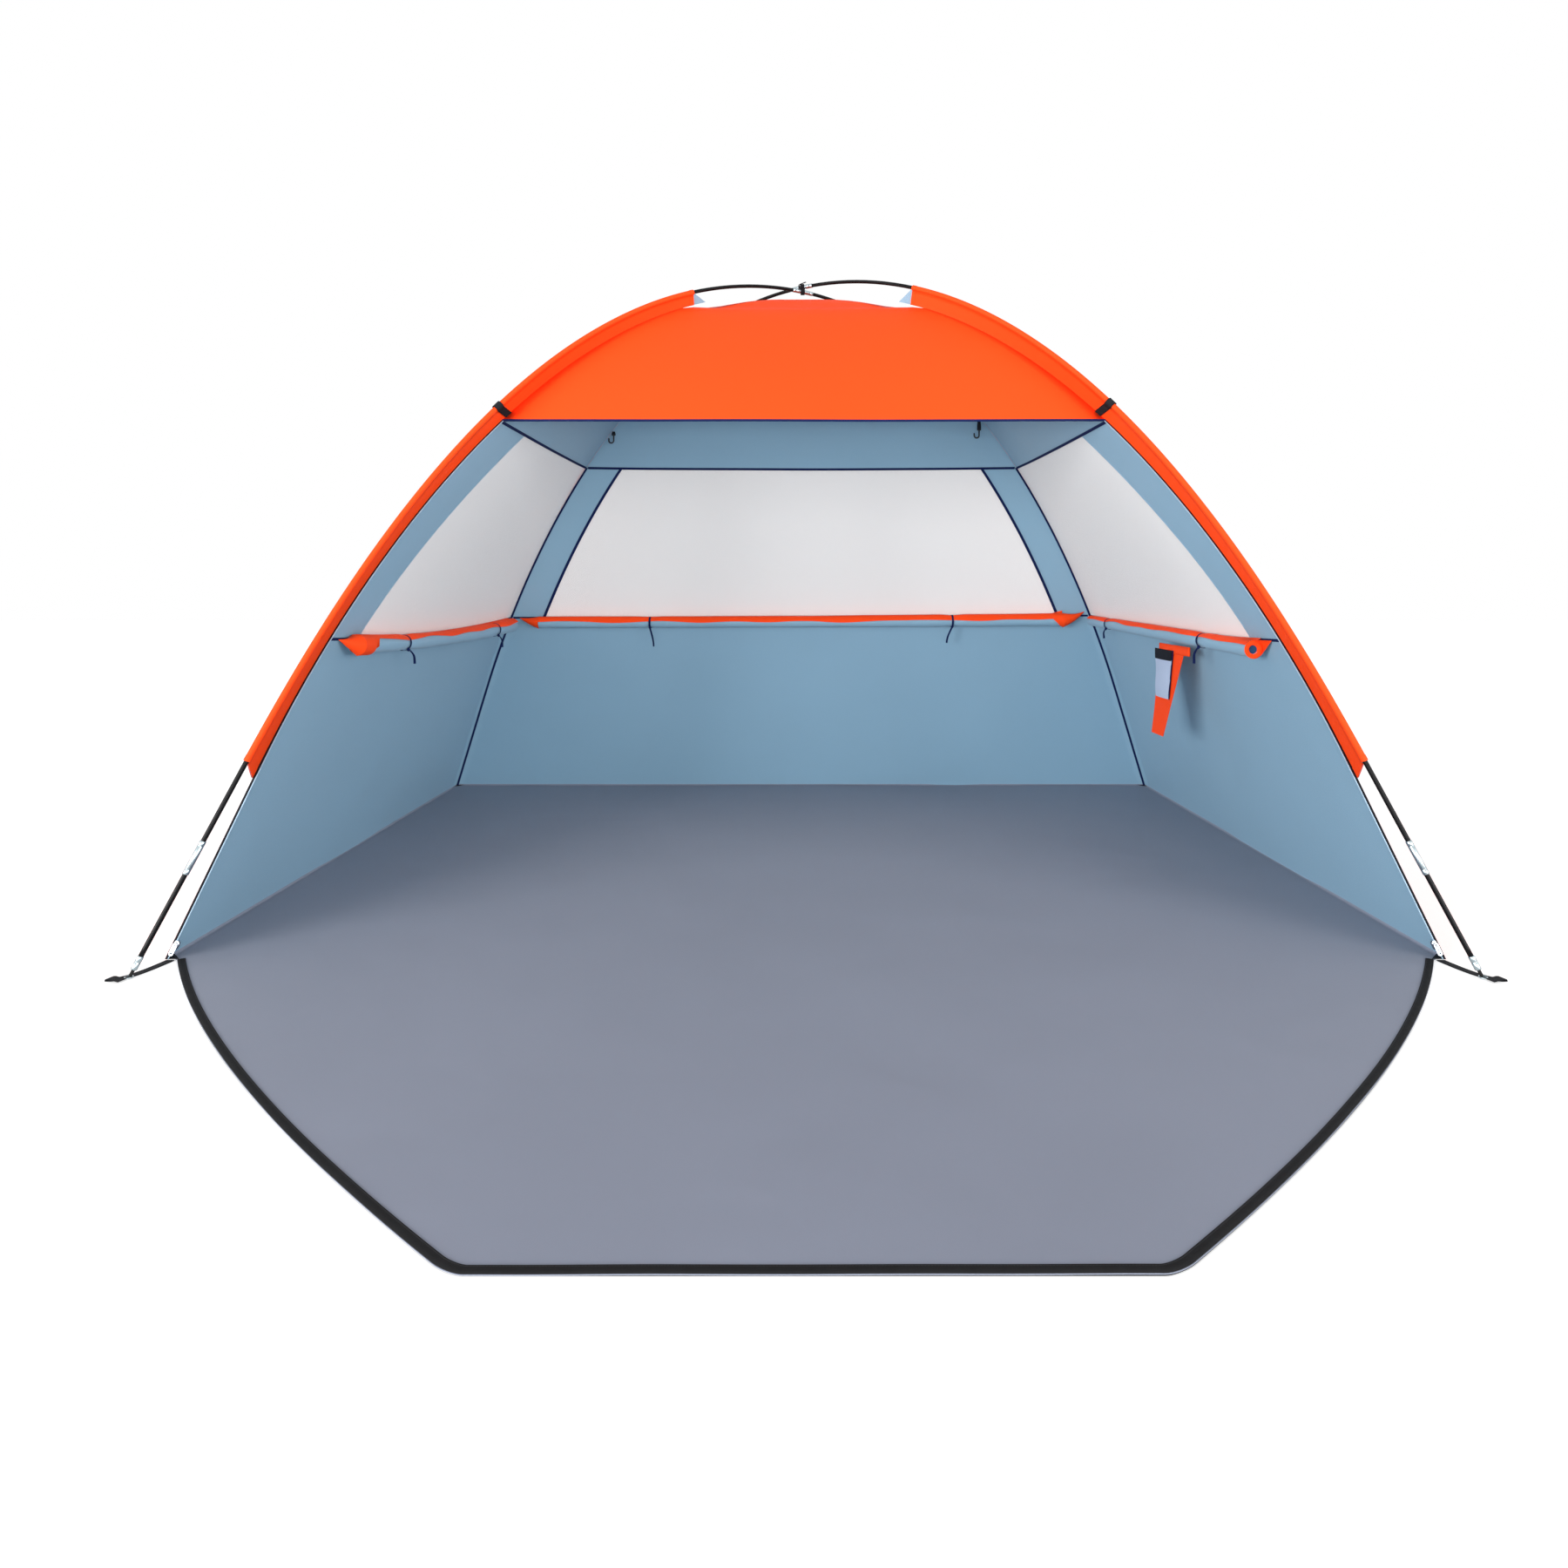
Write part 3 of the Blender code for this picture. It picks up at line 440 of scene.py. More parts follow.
seam_run = math.hypot(base_half_width, base_half_depth)
seam_line = bent_line(seam_run, ridge_height, seam_knee, seam_handles)
wall_steps = 14
window_steps = 16
roof_steps = 22
canopy_rows = [(run_at(seam_line, height) / seam_run, height) for height in (
    [between(wall_foot, sill_height, step / wall_steps) for step in range(wall_steps)]
    + [between(sill_height, brow_height, step / window_steps) for step in range(window_steps + 1)])]
brow_run = canopy_rows[-1][0]
for step in range(1, roof_steps + 1):
    run = brow_run * (1 - step / roof_steps)
    canopy_rows.append((run, height_at(seam_line, run * seam_run)))
row_lengths = [0.0]
for (run, height), (next_run, next_height) in zip(canopy_rows, canopy_rows[1:]):
    row_lengths.append(row_lengths[-1] + math.hypot((run - next_run) * seam_run, next_height - height))
sill_row = wall_steps
brow_row = wall_steps + window_steps
top_row = len(canopy_rows) - 1
panels = {
    "left": (Vector((-1, 0, 0)), Vector((0, -1, 0)), base_half_width, base_half_depth),
    "right": (Vector((1, 0, 0)), Vector((0, 1, 0)), base_half_width, base_half_depth),
    "front": (Vector((0, -1, 0)), Vector((1, 0, 0)), base_half_depth, base_half_width),
    "back": (Vector((0, 1, 0)), Vector((-1, 0, 0)), base_half_depth, base_half_width),
}


def sill_drop(panel, share):
    """How far the rolled flap's weight pulls the sill down, from -1 to 1 across the panel."""
    if panel == "front":
        return 0
    first, middle, last = sill_drops[panel]
    share = -share if panel != "right" else share
    line = between(first, last, (share + 1) / 2)
    return line + middle * (1 - share * share)


def canopy_spot(panel, row, across, inside=0.0):
    """A point of a panel: across is metres from its middle line, to the right as seen from outside.
    The cloth is drawn in a little between its seams, and puckers lightly along them."""
    out_way, along, out_size, wide_size = panels[panel]
    run, height = canopy_rows[row]
    half = max(wide_size * run, 0.001)
    share = max(min(across / half, 1), -1)
    pull = math.exp(-((height - sill_height) / sill_pull_reach) ** 2)
    if pull > least_sill_pull and panel != "front":
        height -= sill_drop(panel, share) * pull
        moved = run_at(seam_line, height) / seam_run
        across *= moved / run
        run = moved
    lower, upper = canopy_rows[max(row - 1, 0)], canopy_rows[min(row + 1, top_row)]
    slope = Vector(((upper[1] - lower[1]), (lower[0] - upper[0]) * out_size)).normalized()
    draw = (1 - share * share) * panel_bow * math.sin(
        math.radians(180) * max(height - sill_height, 0) / (ridge_height - sill_height))
    spot = out_way * (out_size * run) + along * across + Vector((0, 0, height))
    if panel == "front":
        draw *= min(1, (row - brow_row) / brow_ease_rows)
    crown_share = run * seam_run / crown_sag_reach
    if crown_share < 1:
        draw += crown_sag * crown_share * (1 - crown_share ** 8)
    loose = (1 - share ** 8) * min(1, (top_row - row) / crown_ease_rows)
    draw += noise.noise(spot * 3.0) * cloth_ripple * loose
    near_seam = math.exp(-(1 - abs(share)) * half / seam_pucker_reach) * loose
    pucker = math.sin(row_lengths[row] * seam_pucker_rate + noise.noise(spot * 6) * 5)
    draw += pucker * seam_pucker * near_seam
    return spot - (out_way * slope.x + Vector((0, 0, slope.y))) * (draw + inside)


def side_marks(row):
    """Across positions of a side panel's cuts, from its front seam to its rear seam."""
    half = base_half_depth * canopy_rows[row][0]
    height = min(max(canopy_rows[row][1], sill_height), brow_height)
    share = (height - sill_height) / (brow_height - sill_height)
    strip = between(strip_width_sill, strip_width_brow, share * share * (3 - 2 * share))
    if row > brow_row:
        strip *= canopy_rows[row][0] / brow_run
    return -half, -half + strip, half


def back_marks(row):
    half = base_half_width * canopy_rows[row][0]
    pillar = pillar_width if row <= brow_row else pillar_width * canopy_rows[row][0] / brow_run
    return -half, -half + pillar, half - pillar, half


def spread_marks(marks, counts):
    """Split each stretch between two marks into its own number of columns."""
    places = [marks[0]]
    for start, end, count in zip(marks, marks[1:], counts):
        places += [between(start, end, step / count) for step in range(1, count + 1)]
    return places


side_columns = (4, 24)
back_columns = (4, 32, 4)
front_columns = (40,)


def panel_places(panel, row):
    if panel == "front":
        half = base_half_width * canopy_rows[row][0]
        return spread_marks((-half, half), front_columns)
    if panel == "back":
        return spread_marks(back_marks(row), back_columns)
    places = spread_marks(side_marks(row), side_columns)
    if panel == "left":
        return [-place for place in reversed(places)]
    return places


def cut_panel(panel, first_row, last_row, first_column, last_column, inside=0.0):
    """Cut the part of a panel between two rows and two columns of the canopy's own grid."""
    def place(row, column):
        index = first_row + round(row * (last_row - first_row))
        across = panel_places(panel, index)[first_column + round(column * (last_column - first_column))]
        return canopy_spot(panel, index, across, inside), (across, row_lengths[index])
    return cut_cloth(last_row - first_row, last_column - first_column, place)


# The sleeves fold the same cloth round the poles, so the two colours are made here once.
orange_side = cloth_finish("orange_polyester", colour=(0.97, 0.066, 0.0085), thread=0.0006,
                           roughness=0.6, crease_depth=0.0025, sheen=0.0, gloss=0.1)
inner_side = cloth_finish("blue_grey_coating", colour=(0.235, 0.395, 0.520), thread=0.0006,
                          roughness=0.5, crease_depth=0.0035)


def add_bmesh(whole, part):
    """Add one cut part to the growing skin."""
    mesh = bpy.data.meshes.new("part")
    part.to_mesh(mesh)
    part.free()
    whole.from_mesh(mesh)
    bpy.data.meshes.remove(mesh)


skin = bmesh.new()
all_side = sum(side_columns)
all_back = sum(back_columns)
window_columns = {
    "left": (0, side_columns[1]),
    "right": (side_columns[0], all_side),
    "back": (back_columns[0], back_columns[0] + back_columns[1]),
}
for panel, last in (("left", all_side), ("right", all_side), ("back", all_back)):
    low, high = window_columns[panel]
    add_bmesh(skin, cut_panel(panel, 0, sill_row, 0, last))
    if low > 0:
        add_bmesh(skin, cut_panel(panel, sill_row, brow_row, 0, low))
    if high < last:
        add_bmesh(skin, cut_panel(panel, sill_row, brow_row, high, last))
    add_bmesh(skin, cut_panel(panel, brow_row, top_row, 0, last))
add_bmesh(skin, cut_panel("front", brow_row, top_row, 0, front_columns[0]))
bmesh.ops.remove_doubles(skin, verts=skin.verts, dist=panel_join_reach)
canopy_piece = make_piece("canopy_cloth", skin, "tent", [orange_side, inner_side])
thicken(canopy_piece, canopy_cloth_thickness, second_material=1)
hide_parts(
    "left_wall", "right_wall", "back_wall", "left_front_strip", "right_front_strip",
    "back_pillar_left", "back_pillar_right", "front_roof", "rear_roof", "left_roof", "right_roof")


# Window nets: fine knitted polyester, grey-white, sewn into the three openings.
net_thickness = 0.0002


def net_finish(name, colour, mesh_pitch):
    """Knitted net: fine threads with small square holes, which let some of the light through."""
    net = Finish(name)
    across = net.threads("X", mesh_pitch, 0)
    upright = net.threads("Y", mesh_pitch, 0)
    knit = net.combine("MAXIMUM", across, upright)
    cover = net.spread(knit, 0.42, 0.94, **{"From Min": 0.3, "From Max": 0.8})
    net.surface({"Base Color": (*colour, 1), "Roughness": 0.8, "Specular IOR Level": 0.2, "Alpha": cover})
    return net.material


net_cloth = net_finish("window_net", colour=(0.84, 0.83, 0.82), mesh_pitch=0.0014)
for panel, (low, high) in window_columns.items():
    net = make_piece(panel + "_net_cloth", cut_panel(panel, sill_row, brow_row, low, high, net_thickness),
                     "tent", [net_cloth])
    thicken(net, net_thickness)
    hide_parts(panel + "_window_net")


# Seam tapes: narrow navy tape sewn over the raw seams along the brow, the windows and the
# rear corners. The rear ceiling seams and the window hems have tape of the lining's colour.
navy = (0.004, 0.011, 0.062)
navy_thread = (0.010, 0.022, 0.095)
tape_rise = 0.0014
hem_tape_rise = 0.0009
corner_tape_width = 0.0105
pillar_tape_width = 0.0092
side_top_tape_width = 0.0065
back_top_tape_width = 0.0072
sill_tape_width = 0.006
hem_tape_width = 0.004
tape_cloth = 0.0005
side_tape_share = 0.985
back_tape_share = 0.99
pillar_tape_inset = 0.002
hem_tape_inset = 0.0015
brow_binding_reach = 0.0045
brow_binding_cloth = 0.0003
brow_binding_share = 0.997
navy_tape = webbing_finish("navy_tape", colour=navy, rib=0.0008, stitch=(0.0, 0.003, navy_thread))
pale_tape = webbing_finish("pale_tape", colour=(0.30, 0.44, 0.56), rib=0.0008)


def lay_strip(name, spots, material, thickness=tape_cloth):
    """A strip of tape from rows of spots: each row has the same number of spots, left to right."""
    lengths = running_lengths([line[0] for line in spots])
    steps = len(spots[0]) - 1

    def place(row, column):
        index = round(row * (len(spots) - 1))
        line = spots[index]
        spot = line[round(column * steps)]
        across = (spot - line[0]).length - (line[-1] - line[0]).length / 2
        return spot, (across, lengths[index])

    piece = make_piece(name, cut_cloth(len(spots) - 1, steps, place), "tent", [material])
    thicken(piece, thickness, side=0)
    return piece


def up_the_cloth(panel, row, across):
    """The way up along a panel at one of its rows."""
    low = canopy_spot(panel, max(row - 1, 0), across)
    high = canopy_spot(panel, min(row + 1, top_row), across)
    return (high - low).normalized()


def level_tape(name, panel, row, end, width, steps=40):
    """A navy tape along one row of a panel, out to a share of the panel's half width on both sides."""
    half = panels[panel][3] * canopy_rows[row][0]
    spots = []
    for step in range(steps + 1):
        across = between(-end, end, step / steps) * half
        middle = canopy_spot(panel, row, across, tape_rise)
        up = up_the_cloth(panel, row, across)
        spots.append([middle + up * width * share for share in (-0.5, 0, 0.5)])
    lay_strip(name, spots, navy_tape)


def climbing_tape(name, panel, across_at, width, material, rise):
    """A tape up one side of a window, at the place across its panel that across_at gives."""
    spots = []
    for row in range(sill_row, brow_row + 1):
        across = across_at(row)
        spots.append([canopy_spot(panel, row, across + width * share, rise)
                      for share in (-0.5, 0, 0.5)])
    lay_strip(name, spots, material)


def corner_tape(name, side, first_row, last_row, width, material):
    """A tape over the rear seam: it lies a little on each of the two panels that meet there."""
    panel = "left" if side < 0 else "right"
    spots = []
    for row in range(first_row, last_row + 1):
        side_half = base_half_depth * canopy_rows[row][0]
        back_half = base_half_width * canopy_rows[row][0]
        on_side = canopy_spot(panel, row, side * (side_half - width * 0.6), tape_rise)
        on_back = canopy_spot("back", row, -side * (back_half - width * 0.6), tape_rise)
        spots.append([on_side, (on_side + on_back) / 2, on_back])
    lay_strip(name, spots, material)


# Round the brow's cut edge: (up the cloth, out from it) for each point across the tape.
brow_section = [(brow_binding_reach, 0.0007), (0, 0.0010), (-0.0008, 0), (0, -0.0014),
                (brow_binding_reach, -0.0014)]
brow_spots = []
for brow_step in range(61):
    brow_across = between(-1, 1, brow_step / 60) * brow_binding_share * base_half_width * brow_run
    edge_spot = canopy_spot("front", brow_row, brow_across)
    edge_up = up_the_cloth("front", brow_row, brow_across)
    edge_out = Vector((0, -edge_up.z, edge_up.y))
    brow_spots.append([edge_spot + edge_up * up + edge_out * out for up, out in brow_section])
lay_strip("brow_binding", brow_spots, navy_tape, thickness=brow_binding_cloth)
for side, panel in ((-1, "left"), (1, "right")):
    def beside_pillar(row, side=side):
        return -side * (base_half_width * canopy_rows[row][0] - pillar_width + pillar_tape_inset)

    def beside_strip(row, side=side):
        return side * (side_marks(row)[1] + hem_tape_inset)

    corner_tape(panel + "_corner_tape", side, 0, brow_row, corner_tape_width, navy_tape)
    corner_tape(panel + "_ceiling_tape", side, brow_row, top_row - 4, hem_tape_width, pale_tape)
    level_tape(panel + "_window_top_tape", panel, brow_row, side_tape_share, side_top_tape_width)
    level_tape(panel + "_sill_tape", panel, sill_row, side_tape_share, sill_tape_width)
    climbing_tape(panel + "_pillar_tape", "back", beside_pillar, pillar_tape_width, navy_tape, tape_rise)
    climbing_tape(panel + "_window_hem", panel, beside_strip, hem_tape_width, pale_tape, hem_tape_rise)
level_tape("back_window_top_tape", "back", brow_row, back_tape_share, back_top_tape_width)
level_tape("back_sill_tape", "back", sill_row, back_tape_share, sill_tape_width)


# Foot tapes: a narrow tape of the groundsheet's cloth covers the seam between the floor
# and each wall. It lies a little way out on the floor and turns up the wall.
foot_tape_reach = 0.008
foot_tape_height = 0.006
foot_tape_corner_gap = 0.0022
foot_tape_wall_gap = 0.0026
foot_tape_floor_rise = 0.0006
foot_tape_corner_rise = 0.0008
foot_tape_cloth = 0.0004
foot_tape_share = 0.995
for panel in ("left", "right", "back"):
    out_way, along, out_size, wide_size = panels[panel]
    foot_spots = []
    for step in range(61):
        across = along * between(-1, 1, step / 60) * foot_tape_share * wide_size
        on_floor = out_way * (out_size - foot_tape_reach) + across
        on_floor.z = floor_height(on_floor.x, on_floor.y) + foot_tape_floor_rise
        in_corner = out_way * (out_size - foot_tape_corner_gap) + across
        in_corner.z = floor_top + foot_tape_corner_rise
        on_wall = out_way * (out_size - foot_tape_wall_gap) + across
        on_wall.z = foot_tape_height
        foot_spots.append([on_floor, in_corner, on_wall])
    lay_strip(panel + "_foot_tape", foot_spots, floor_cloth, foot_tape_cloth)


# Zips: a nylon coil zip up each side of the opening, which joins the folded-up flap to
# the walls. Each has its black woven tape and, along the free edge, its coil, coloured pale blue as a painted
# highlight.
zip_tape_width = 0.0052
zip_tape_thickness = 0.0007
zip_rise = -0.0004
zip_coil_radius = 0.0011
zip_coil_gap = 0.0006
join_reach = 0.00002


def join_edges(work):
    """Join the corners of a rolled-up grid where its edges meet."""
    bmesh.ops.remove_doubles(work, verts=work.verts, dist=join_reach)


def close_up(work):
    """Join a grid's meeting edges, cap what is still open, and turn the faces outwards."""
    join_edges(work)
    bmesh.ops.holes_fill(work, edges=[edge for edge in work.edges if edge.is_boundary], sides=0)
    bmesh.ops.recalc_face_normals(work, faces=work.faces)


def tube(points, radius_at, sides, hint=Vector((0, 0, 1))):
    """A round tube along points, closed at its ends: radius_at gives its radius at each of them. The
    hint is any way that the points don't take, and the ring's own first way is square to it."""
    lengths = running_lengths(points)

    def place(row, column):
        index = round(row * (len(points) - 1))
        before = points[max(index - 1, 0)]
        after = points[min(index + 1, len(points) - 1)]
        ahead = (after - before).normalized()
        aside = ahead.cross(hint).normalized()
        up = aside.cross(ahead)
        angle = math.radians(360) * column
        spot = points[index] + (aside * math.cos(angle) + up * math.sin(angle)) * radius_at(index)
        return spot, (column * math.radians(360) * radius_at(0), lengths[index])

    work = cut_cloth(len(points) - 1, sides, place)
    close_up(work)
    return work


# The coil's pale blue is partly a painted highlight: it stands for the light caught along the tape's free
# edge.
coil_painted_highlight_finish = webbing_finish("zip_coil", colour=(0.34, 0.47, 0.58), rib=0.0014, roughness=0.5)
zip_black = webbing_finish("zip_tape", colour=(0.006, 0.006, 0.009), rib=0.0007)
for side, word in ((-1, "left"), (1, "right")):
    zip_spots = []
    coil_points = []
    for row in range(0, brow_row + 1):
        seam_across = side * base_half_width * canopy_rows[row][0]
        zip_spots.append([canopy_spot("front", row, seam_across - side * zip_tape_width * share, zip_rise)
                          for share in (0.02, 0.35, 0.68, 1)])
        coil_across = seam_across - side * (zip_tape_width + zip_coil_gap)
        coil_points.append(canopy_spot("front", row, coil_across, zip_rise))
    zip_piece = lay_strip(word + "_zip_tape_cloth", zip_spots, zip_black, thickness=zip_tape_thickness)
    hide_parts(word + "_zip_tape")
    coil = tube(coil_points, lambda index: zip_coil_radius, 8, Vector((0, 1, 0)))
    make_piece(word + "_zip_coil", coil, "tent", [coil_painted_highlight_finish])


# Zip sliders: die-cast steel, a front and a back plate joined past the coil, with a loose
# pull that has three holes. They run on the zip's straight lower part.
slider_width = 0.0075
slider_length = 0.016
slider_plate = 0.0014
slider_seat = 0.0108
slider_front_gap = 0.0004
slider_back_gap = 0.0018
bridge_depth = 0.0050
bridge_setback = 0.0032
slider_rounding = 0.0003
pull_loop_start = 0.0017
pull_loop_radius = 0.0024
pull_loop_wire = 0.0008
pull_width = 0.0085
pull_length = 0.0220
pull_thickness = 0.0013
pull_corner_radius = 0.0034
pull_rounding = 0.00025
pull_holes = [(-0.0066, 0.0017), (-0.0014, 0.0012), (0.0082, 0.0015)]
zip_start_height = 0.020
seam_knee_height = ridge_height * seam_knee[1]


def metal_finish(name, colour, roughness, scratch_scale, metallic=1.0):
    """Metal, or moulded plastic, with fine scratches and uneven polish."""
    metal = Finish(name)
    scratches = metal.grain(scratch_scale, 5)
    metal.surface({
        "Base Color": (*colour, 1), "Metallic": metallic,
        "Roughness": metal.spread(scratches, roughness * 0.7, roughness * 1.3),
        "Normal": metal.relief(scratches, 0.00005, 0.4)})
    return metal.material


def plate_with_holes(outline, holes, thickness):
    """A flat plate in the XZ plane, cut to an outline with holes in it, and then thickened along Y."""
    work = bmesh.new()
    edges = []
    for loop in [outline] + holes:
        corners = [work.verts.new((x, 0, z)) for x, z in loop]
        for index, corner in enumerate(corners):
            edges.append(work.edges.new((corner, corners[(index + 1) % len(corners)])))
    bmesh.ops.triangle_fill(work, edges=edges, use_beauty=True)
    grown = bmesh.ops.extrude_face_region(work, geom=work.faces[:])
    lifted = [part for part in grown["geom"] if isinstance(part, bmesh.types.BMVert)]
    bmesh.ops.translate(work, verts=lifted, vec=(0, thickness, 0))
    bmesh.ops.recalc_face_normals(work, faces=work.faces)
    return work


def rounded_outline(width, height, radius, steps=5):
    outline = []
    for turn, (x, z) in enumerate(((1, 1), (-1, 1), (-1, -1), (1, -1))):
        centre = (x * (width / 2 - radius), z * (height / 2 - radius))
        for step in range(steps + 1):
            angle = math.radians(90) * (turn + step / steps)
            outline.append((centre[0] + math.cos(angle) * radius, centre[1] + math.sin(angle) * radius))
    return outline


def ring_outline(z, radius, steps=14):
    angles = [math.radians(360) * step / steps for step in range(steps)]
    return [(math.cos(angle) * radius, z + math.sin(angle) * radius) for angle in angles]


def round_edges(piece, width):
    """Leave a cast or stamped piece's faces flat, and round its corners a little."""
    piece.data.shade_flat()
    soften = piece.modifiers.new("rounded_edges", "BEVEL")
    soften.width = width
    soften.segments = 2
    soften.limit_method = "ANGLE"
    soften.angle_limit = math.radians(40)


slider_steel = metal_finish(
    "slider_steel", colour=(0.44, 0.47, 0.52), roughness=0.34, scratch_scale=300)
slider_middle = slider_seat - slider_width / 2
for side, word in ((-1, "left"), (1, "right")):
    knee_run = run_at(seam_line, seam_knee_height) / seam_run
    knee_spot = Vector((side * base_half_width, -base_half_depth, 0)) * knee_run
    knee_spot.z = seam_knee_height
    zip_foot = Vector((side * base_half_width, -base_half_depth, 0))
    climb = (knee_spot - zip_foot).normalized()
    out_from_zip = climb.cross(Vector((1, 0, 0))).normalized()
    if out_from_zip.y > 0:
        out_from_zip = -out_from_zip
    inwards = out_from_zip.cross(climb).normalized()
    if inwards.x * side > 0:
        inwards = -inwards
    slider_home = zip_foot + climb * (zip_start_height / climb.z)
    turned = Matrix((inwards, out_from_zip, climb)).transposed().to_4x4()
    slider_at = Matrix.Translation(slider_home) @ turned
    body = bmesh.new()
    plate_outline = rounded_outline(slider_width, slider_length, slider_width * 0.4)
    for offset in (slider_front_gap, -slider_back_gap - slider_plate):
        part = plate_with_holes(plate_outline, [], slider_plate)
        bmesh.ops.translate(part, verts=part.verts, vec=(slider_middle, offset, slider_length / 2))
        add_bmesh(body, part)
    bridge_outline = rounded_outline(slider_plate, slider_length * 0.7, slider_plate * 0.4)
    bridge = plate_with_holes(bridge_outline, [], bridge_depth)
    bmesh.ops.translate(bridge, verts=bridge.verts, vec=(slider_seat, -bridge_setback, slider_length / 2))
    add_bmesh(body, bridge)
    loop_points = []
    for step in range(11):
        angle = math.radians(180) * step / 10
        loop_points.append(Vector((slider_middle, pull_loop_start + math.sin(angle) * pull_loop_radius,
                                   slider_length * (0.5 + math.cos(angle) * 0.3))))
    add_bmesh(body, tube(loop_points, lambda index: pull_loop_wire, 8, Vector((1, 0, 0))))
    body.transform(slider_at)
    slider = make_piece(word + "_slider_body", body, word + "_zip_slider", [slider_steel])
    round_edges(slider, slider_rounding)
    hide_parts(word + "_zip_slider")
    holes = [ring_outline(z, radius) for z, radius in pull_holes]
    pull_outline = rounded_outline(pull_width, pull_length, pull_corner_radius)
    pull = plate_with_holes(pull_outline, holes, pull_thickness)
    bmesh.ops.translate(pull, verts=pull.verts,
                        vec=(slider_middle, pull_loop_radius, slider_length * 0.75 - pull_length / 2))
    pull.transform(slider_at)
    pull_piece = make_piece(word + "_slider_pull", pull, word + "_zip_slider", [slider_steel])
    round_edges(pull_piece, pull_rounding)


# Poles: two hollow fibreglass rods, bent over the tent from corner to corner, that cross
# at the top. Each foot ends in a steel cap and a rubber-coated pin, which stands in the
# corner strap, and steel ferrules join the sections.
foot_half_width = 1.140
foot_half_depth = 0.800
pole_height = 1.400
pole_knee = (0.884, 0.232)
pole_handles = (0.482, 0.279)
rod_radius = 0.00425
rod_joint_gap = 0.0006
end_section_length = 0.210
crossing_lift = 0.0110
ferrule_radius = 0.00535
ferrule_length = 0.060
ferrule_mouth_radius = 0.0047
crimp_depth = 0.0003
cap_radius = 0.0052
cap_length = 0.024
cap_overlap = 0.001
pin_radius = 0.0028
pin_length = 0.014
corner_words = {
    (-1, -1): "front_left",
    (1, -1): "front_right",
    (-1, 1): "rear_left",
    (1, 1): "rear_right",
}


def along_line(line, lengths, length):
    """The point of a bent line at a length from its crown."""
    for index in range(1, len(line)):
        if lengths[index] >= length or index == len(line) - 1:
            share = (length - lengths[index - 1]) / (lengths[index] - lengths[index - 1])
            return line[index - 1].lerp(line[index], share)


class Bow:
    """A bent pole, or the seam below it, that runs from the crown to each of two corners."""

    def __init__(self, half_width, half_depth, rise, knee, handles):
        self.half_width = half_width
        self.half_depth = half_depth
        self.run = math.hypot(half_width, half_depth)
        self.line = bent_line(self.run, rise, knee, handles)
        self.lengths = running_lengths(self.line)
        self.length = self.lengths[-1]

    def spot(self, corner, length):
        point = along_line(self.line, self.lengths, length)
        share = point.x / self.run
        x = corner[0] * self.half_width * share
        y = corner[1] * self.half_depth * share
        return Vector((x, y, point.y))

    def ahead(self, corner, length):
        step = 0.001
        start = max(length - step, 0)
        end = min(length + step, self.length)
        return (self.spot(corner, end) - self.spot(corner, start)).normalized()

    def across(self, corner):
        """Level, and square to the plane that the bow stands in."""
        return Vector((corner[1] * self.half_depth, -corner[0] * self.half_width, 0)).normalized()


seam_bow = Bow(base_half_width, base_half_depth, ridge_height, seam_knee, seam_handles)
low_bow = Bow(foot_half_width, foot_half_depth, pole_height, pole_knee, pole_handles)
high_bow = Bow(foot_half_width, foot_half_depth, pole_height + crossing_lift, pole_knee, pole_handles)
pole_bows = {(-1, -1): low_bow, (1, 1): low_bow, (1, -1): high_bow, (-1, 1): high_bow}


def rod_finish(name):
    """Pultruded fibreglass with a black coat: long faint streaks under a soft gloss."""
    rod = Finish(name)
    stretched = rod.add("Mapping", "Vector", {"Vector": rod.on_cloth, "Scale": (900, 12, 1)})
    streaks = rod.grain(1, 3, Vector=stretched)
    dark = (0.0015, 0.0015, 0.002, 1)
    pale = (0.006, 0.006, 0.007, 1)
    tone = rod.add("Mix", "Result", {"Factor": streaks, "A": dark, "B": pale}, data_type="RGBA")
    rod.surface({"Base Color": tone, "Specular IOR Level": webbing_gloss,
                 "Roughness": rod.spread(streaks, 0.28, 0.45)})
    return rod.material


black_rod = rod_finish("black_rod")
ferrule_steel = metal_finish(
    "ferrule_steel", colour=(0.46, 0.54, 0.57), roughness=0.34, scratch_scale=220)
pin_rubber = webbing_finish("pin_rubber", colour=(0.014, 0.013, 0.013), rib=0.002, roughness=0.6)
rod_sides = 16


def bow_tube(name, bow, corner, stations, material):
    """A round piece on one leg of a bow: stations are pairs of a length from the crown and a radius."""
    points = [bow.spot(corner, length) for length, _ in stations]
    work = tube(points, lambda index: stations[index][1], rod_sides, bow.across(corner))
    return make_piece(name, work, "tent", [material])


def even_stations(start, end, radius, count):
    return [(between(start, end, step / count), radius) for step in range(count + 1)]


def crimped(start, end):
    """Stations of a ferrule with turned-in lips and a crimp near each end."""
    lip = 0.0006
    crimp = ferrule_radius - crimp_depth
    marks = [(0, ferrule_radius - lip), (lip, ferrule_radius), (0.0080, ferrule_radius),
             (0.0084, crimp), (0.0094, crimp), (0.0098, ferrule_radius)]
    near = [(start + place, size) for place, size in marks]
    return near + [(end - place, size) for place, size in reversed(marks)]


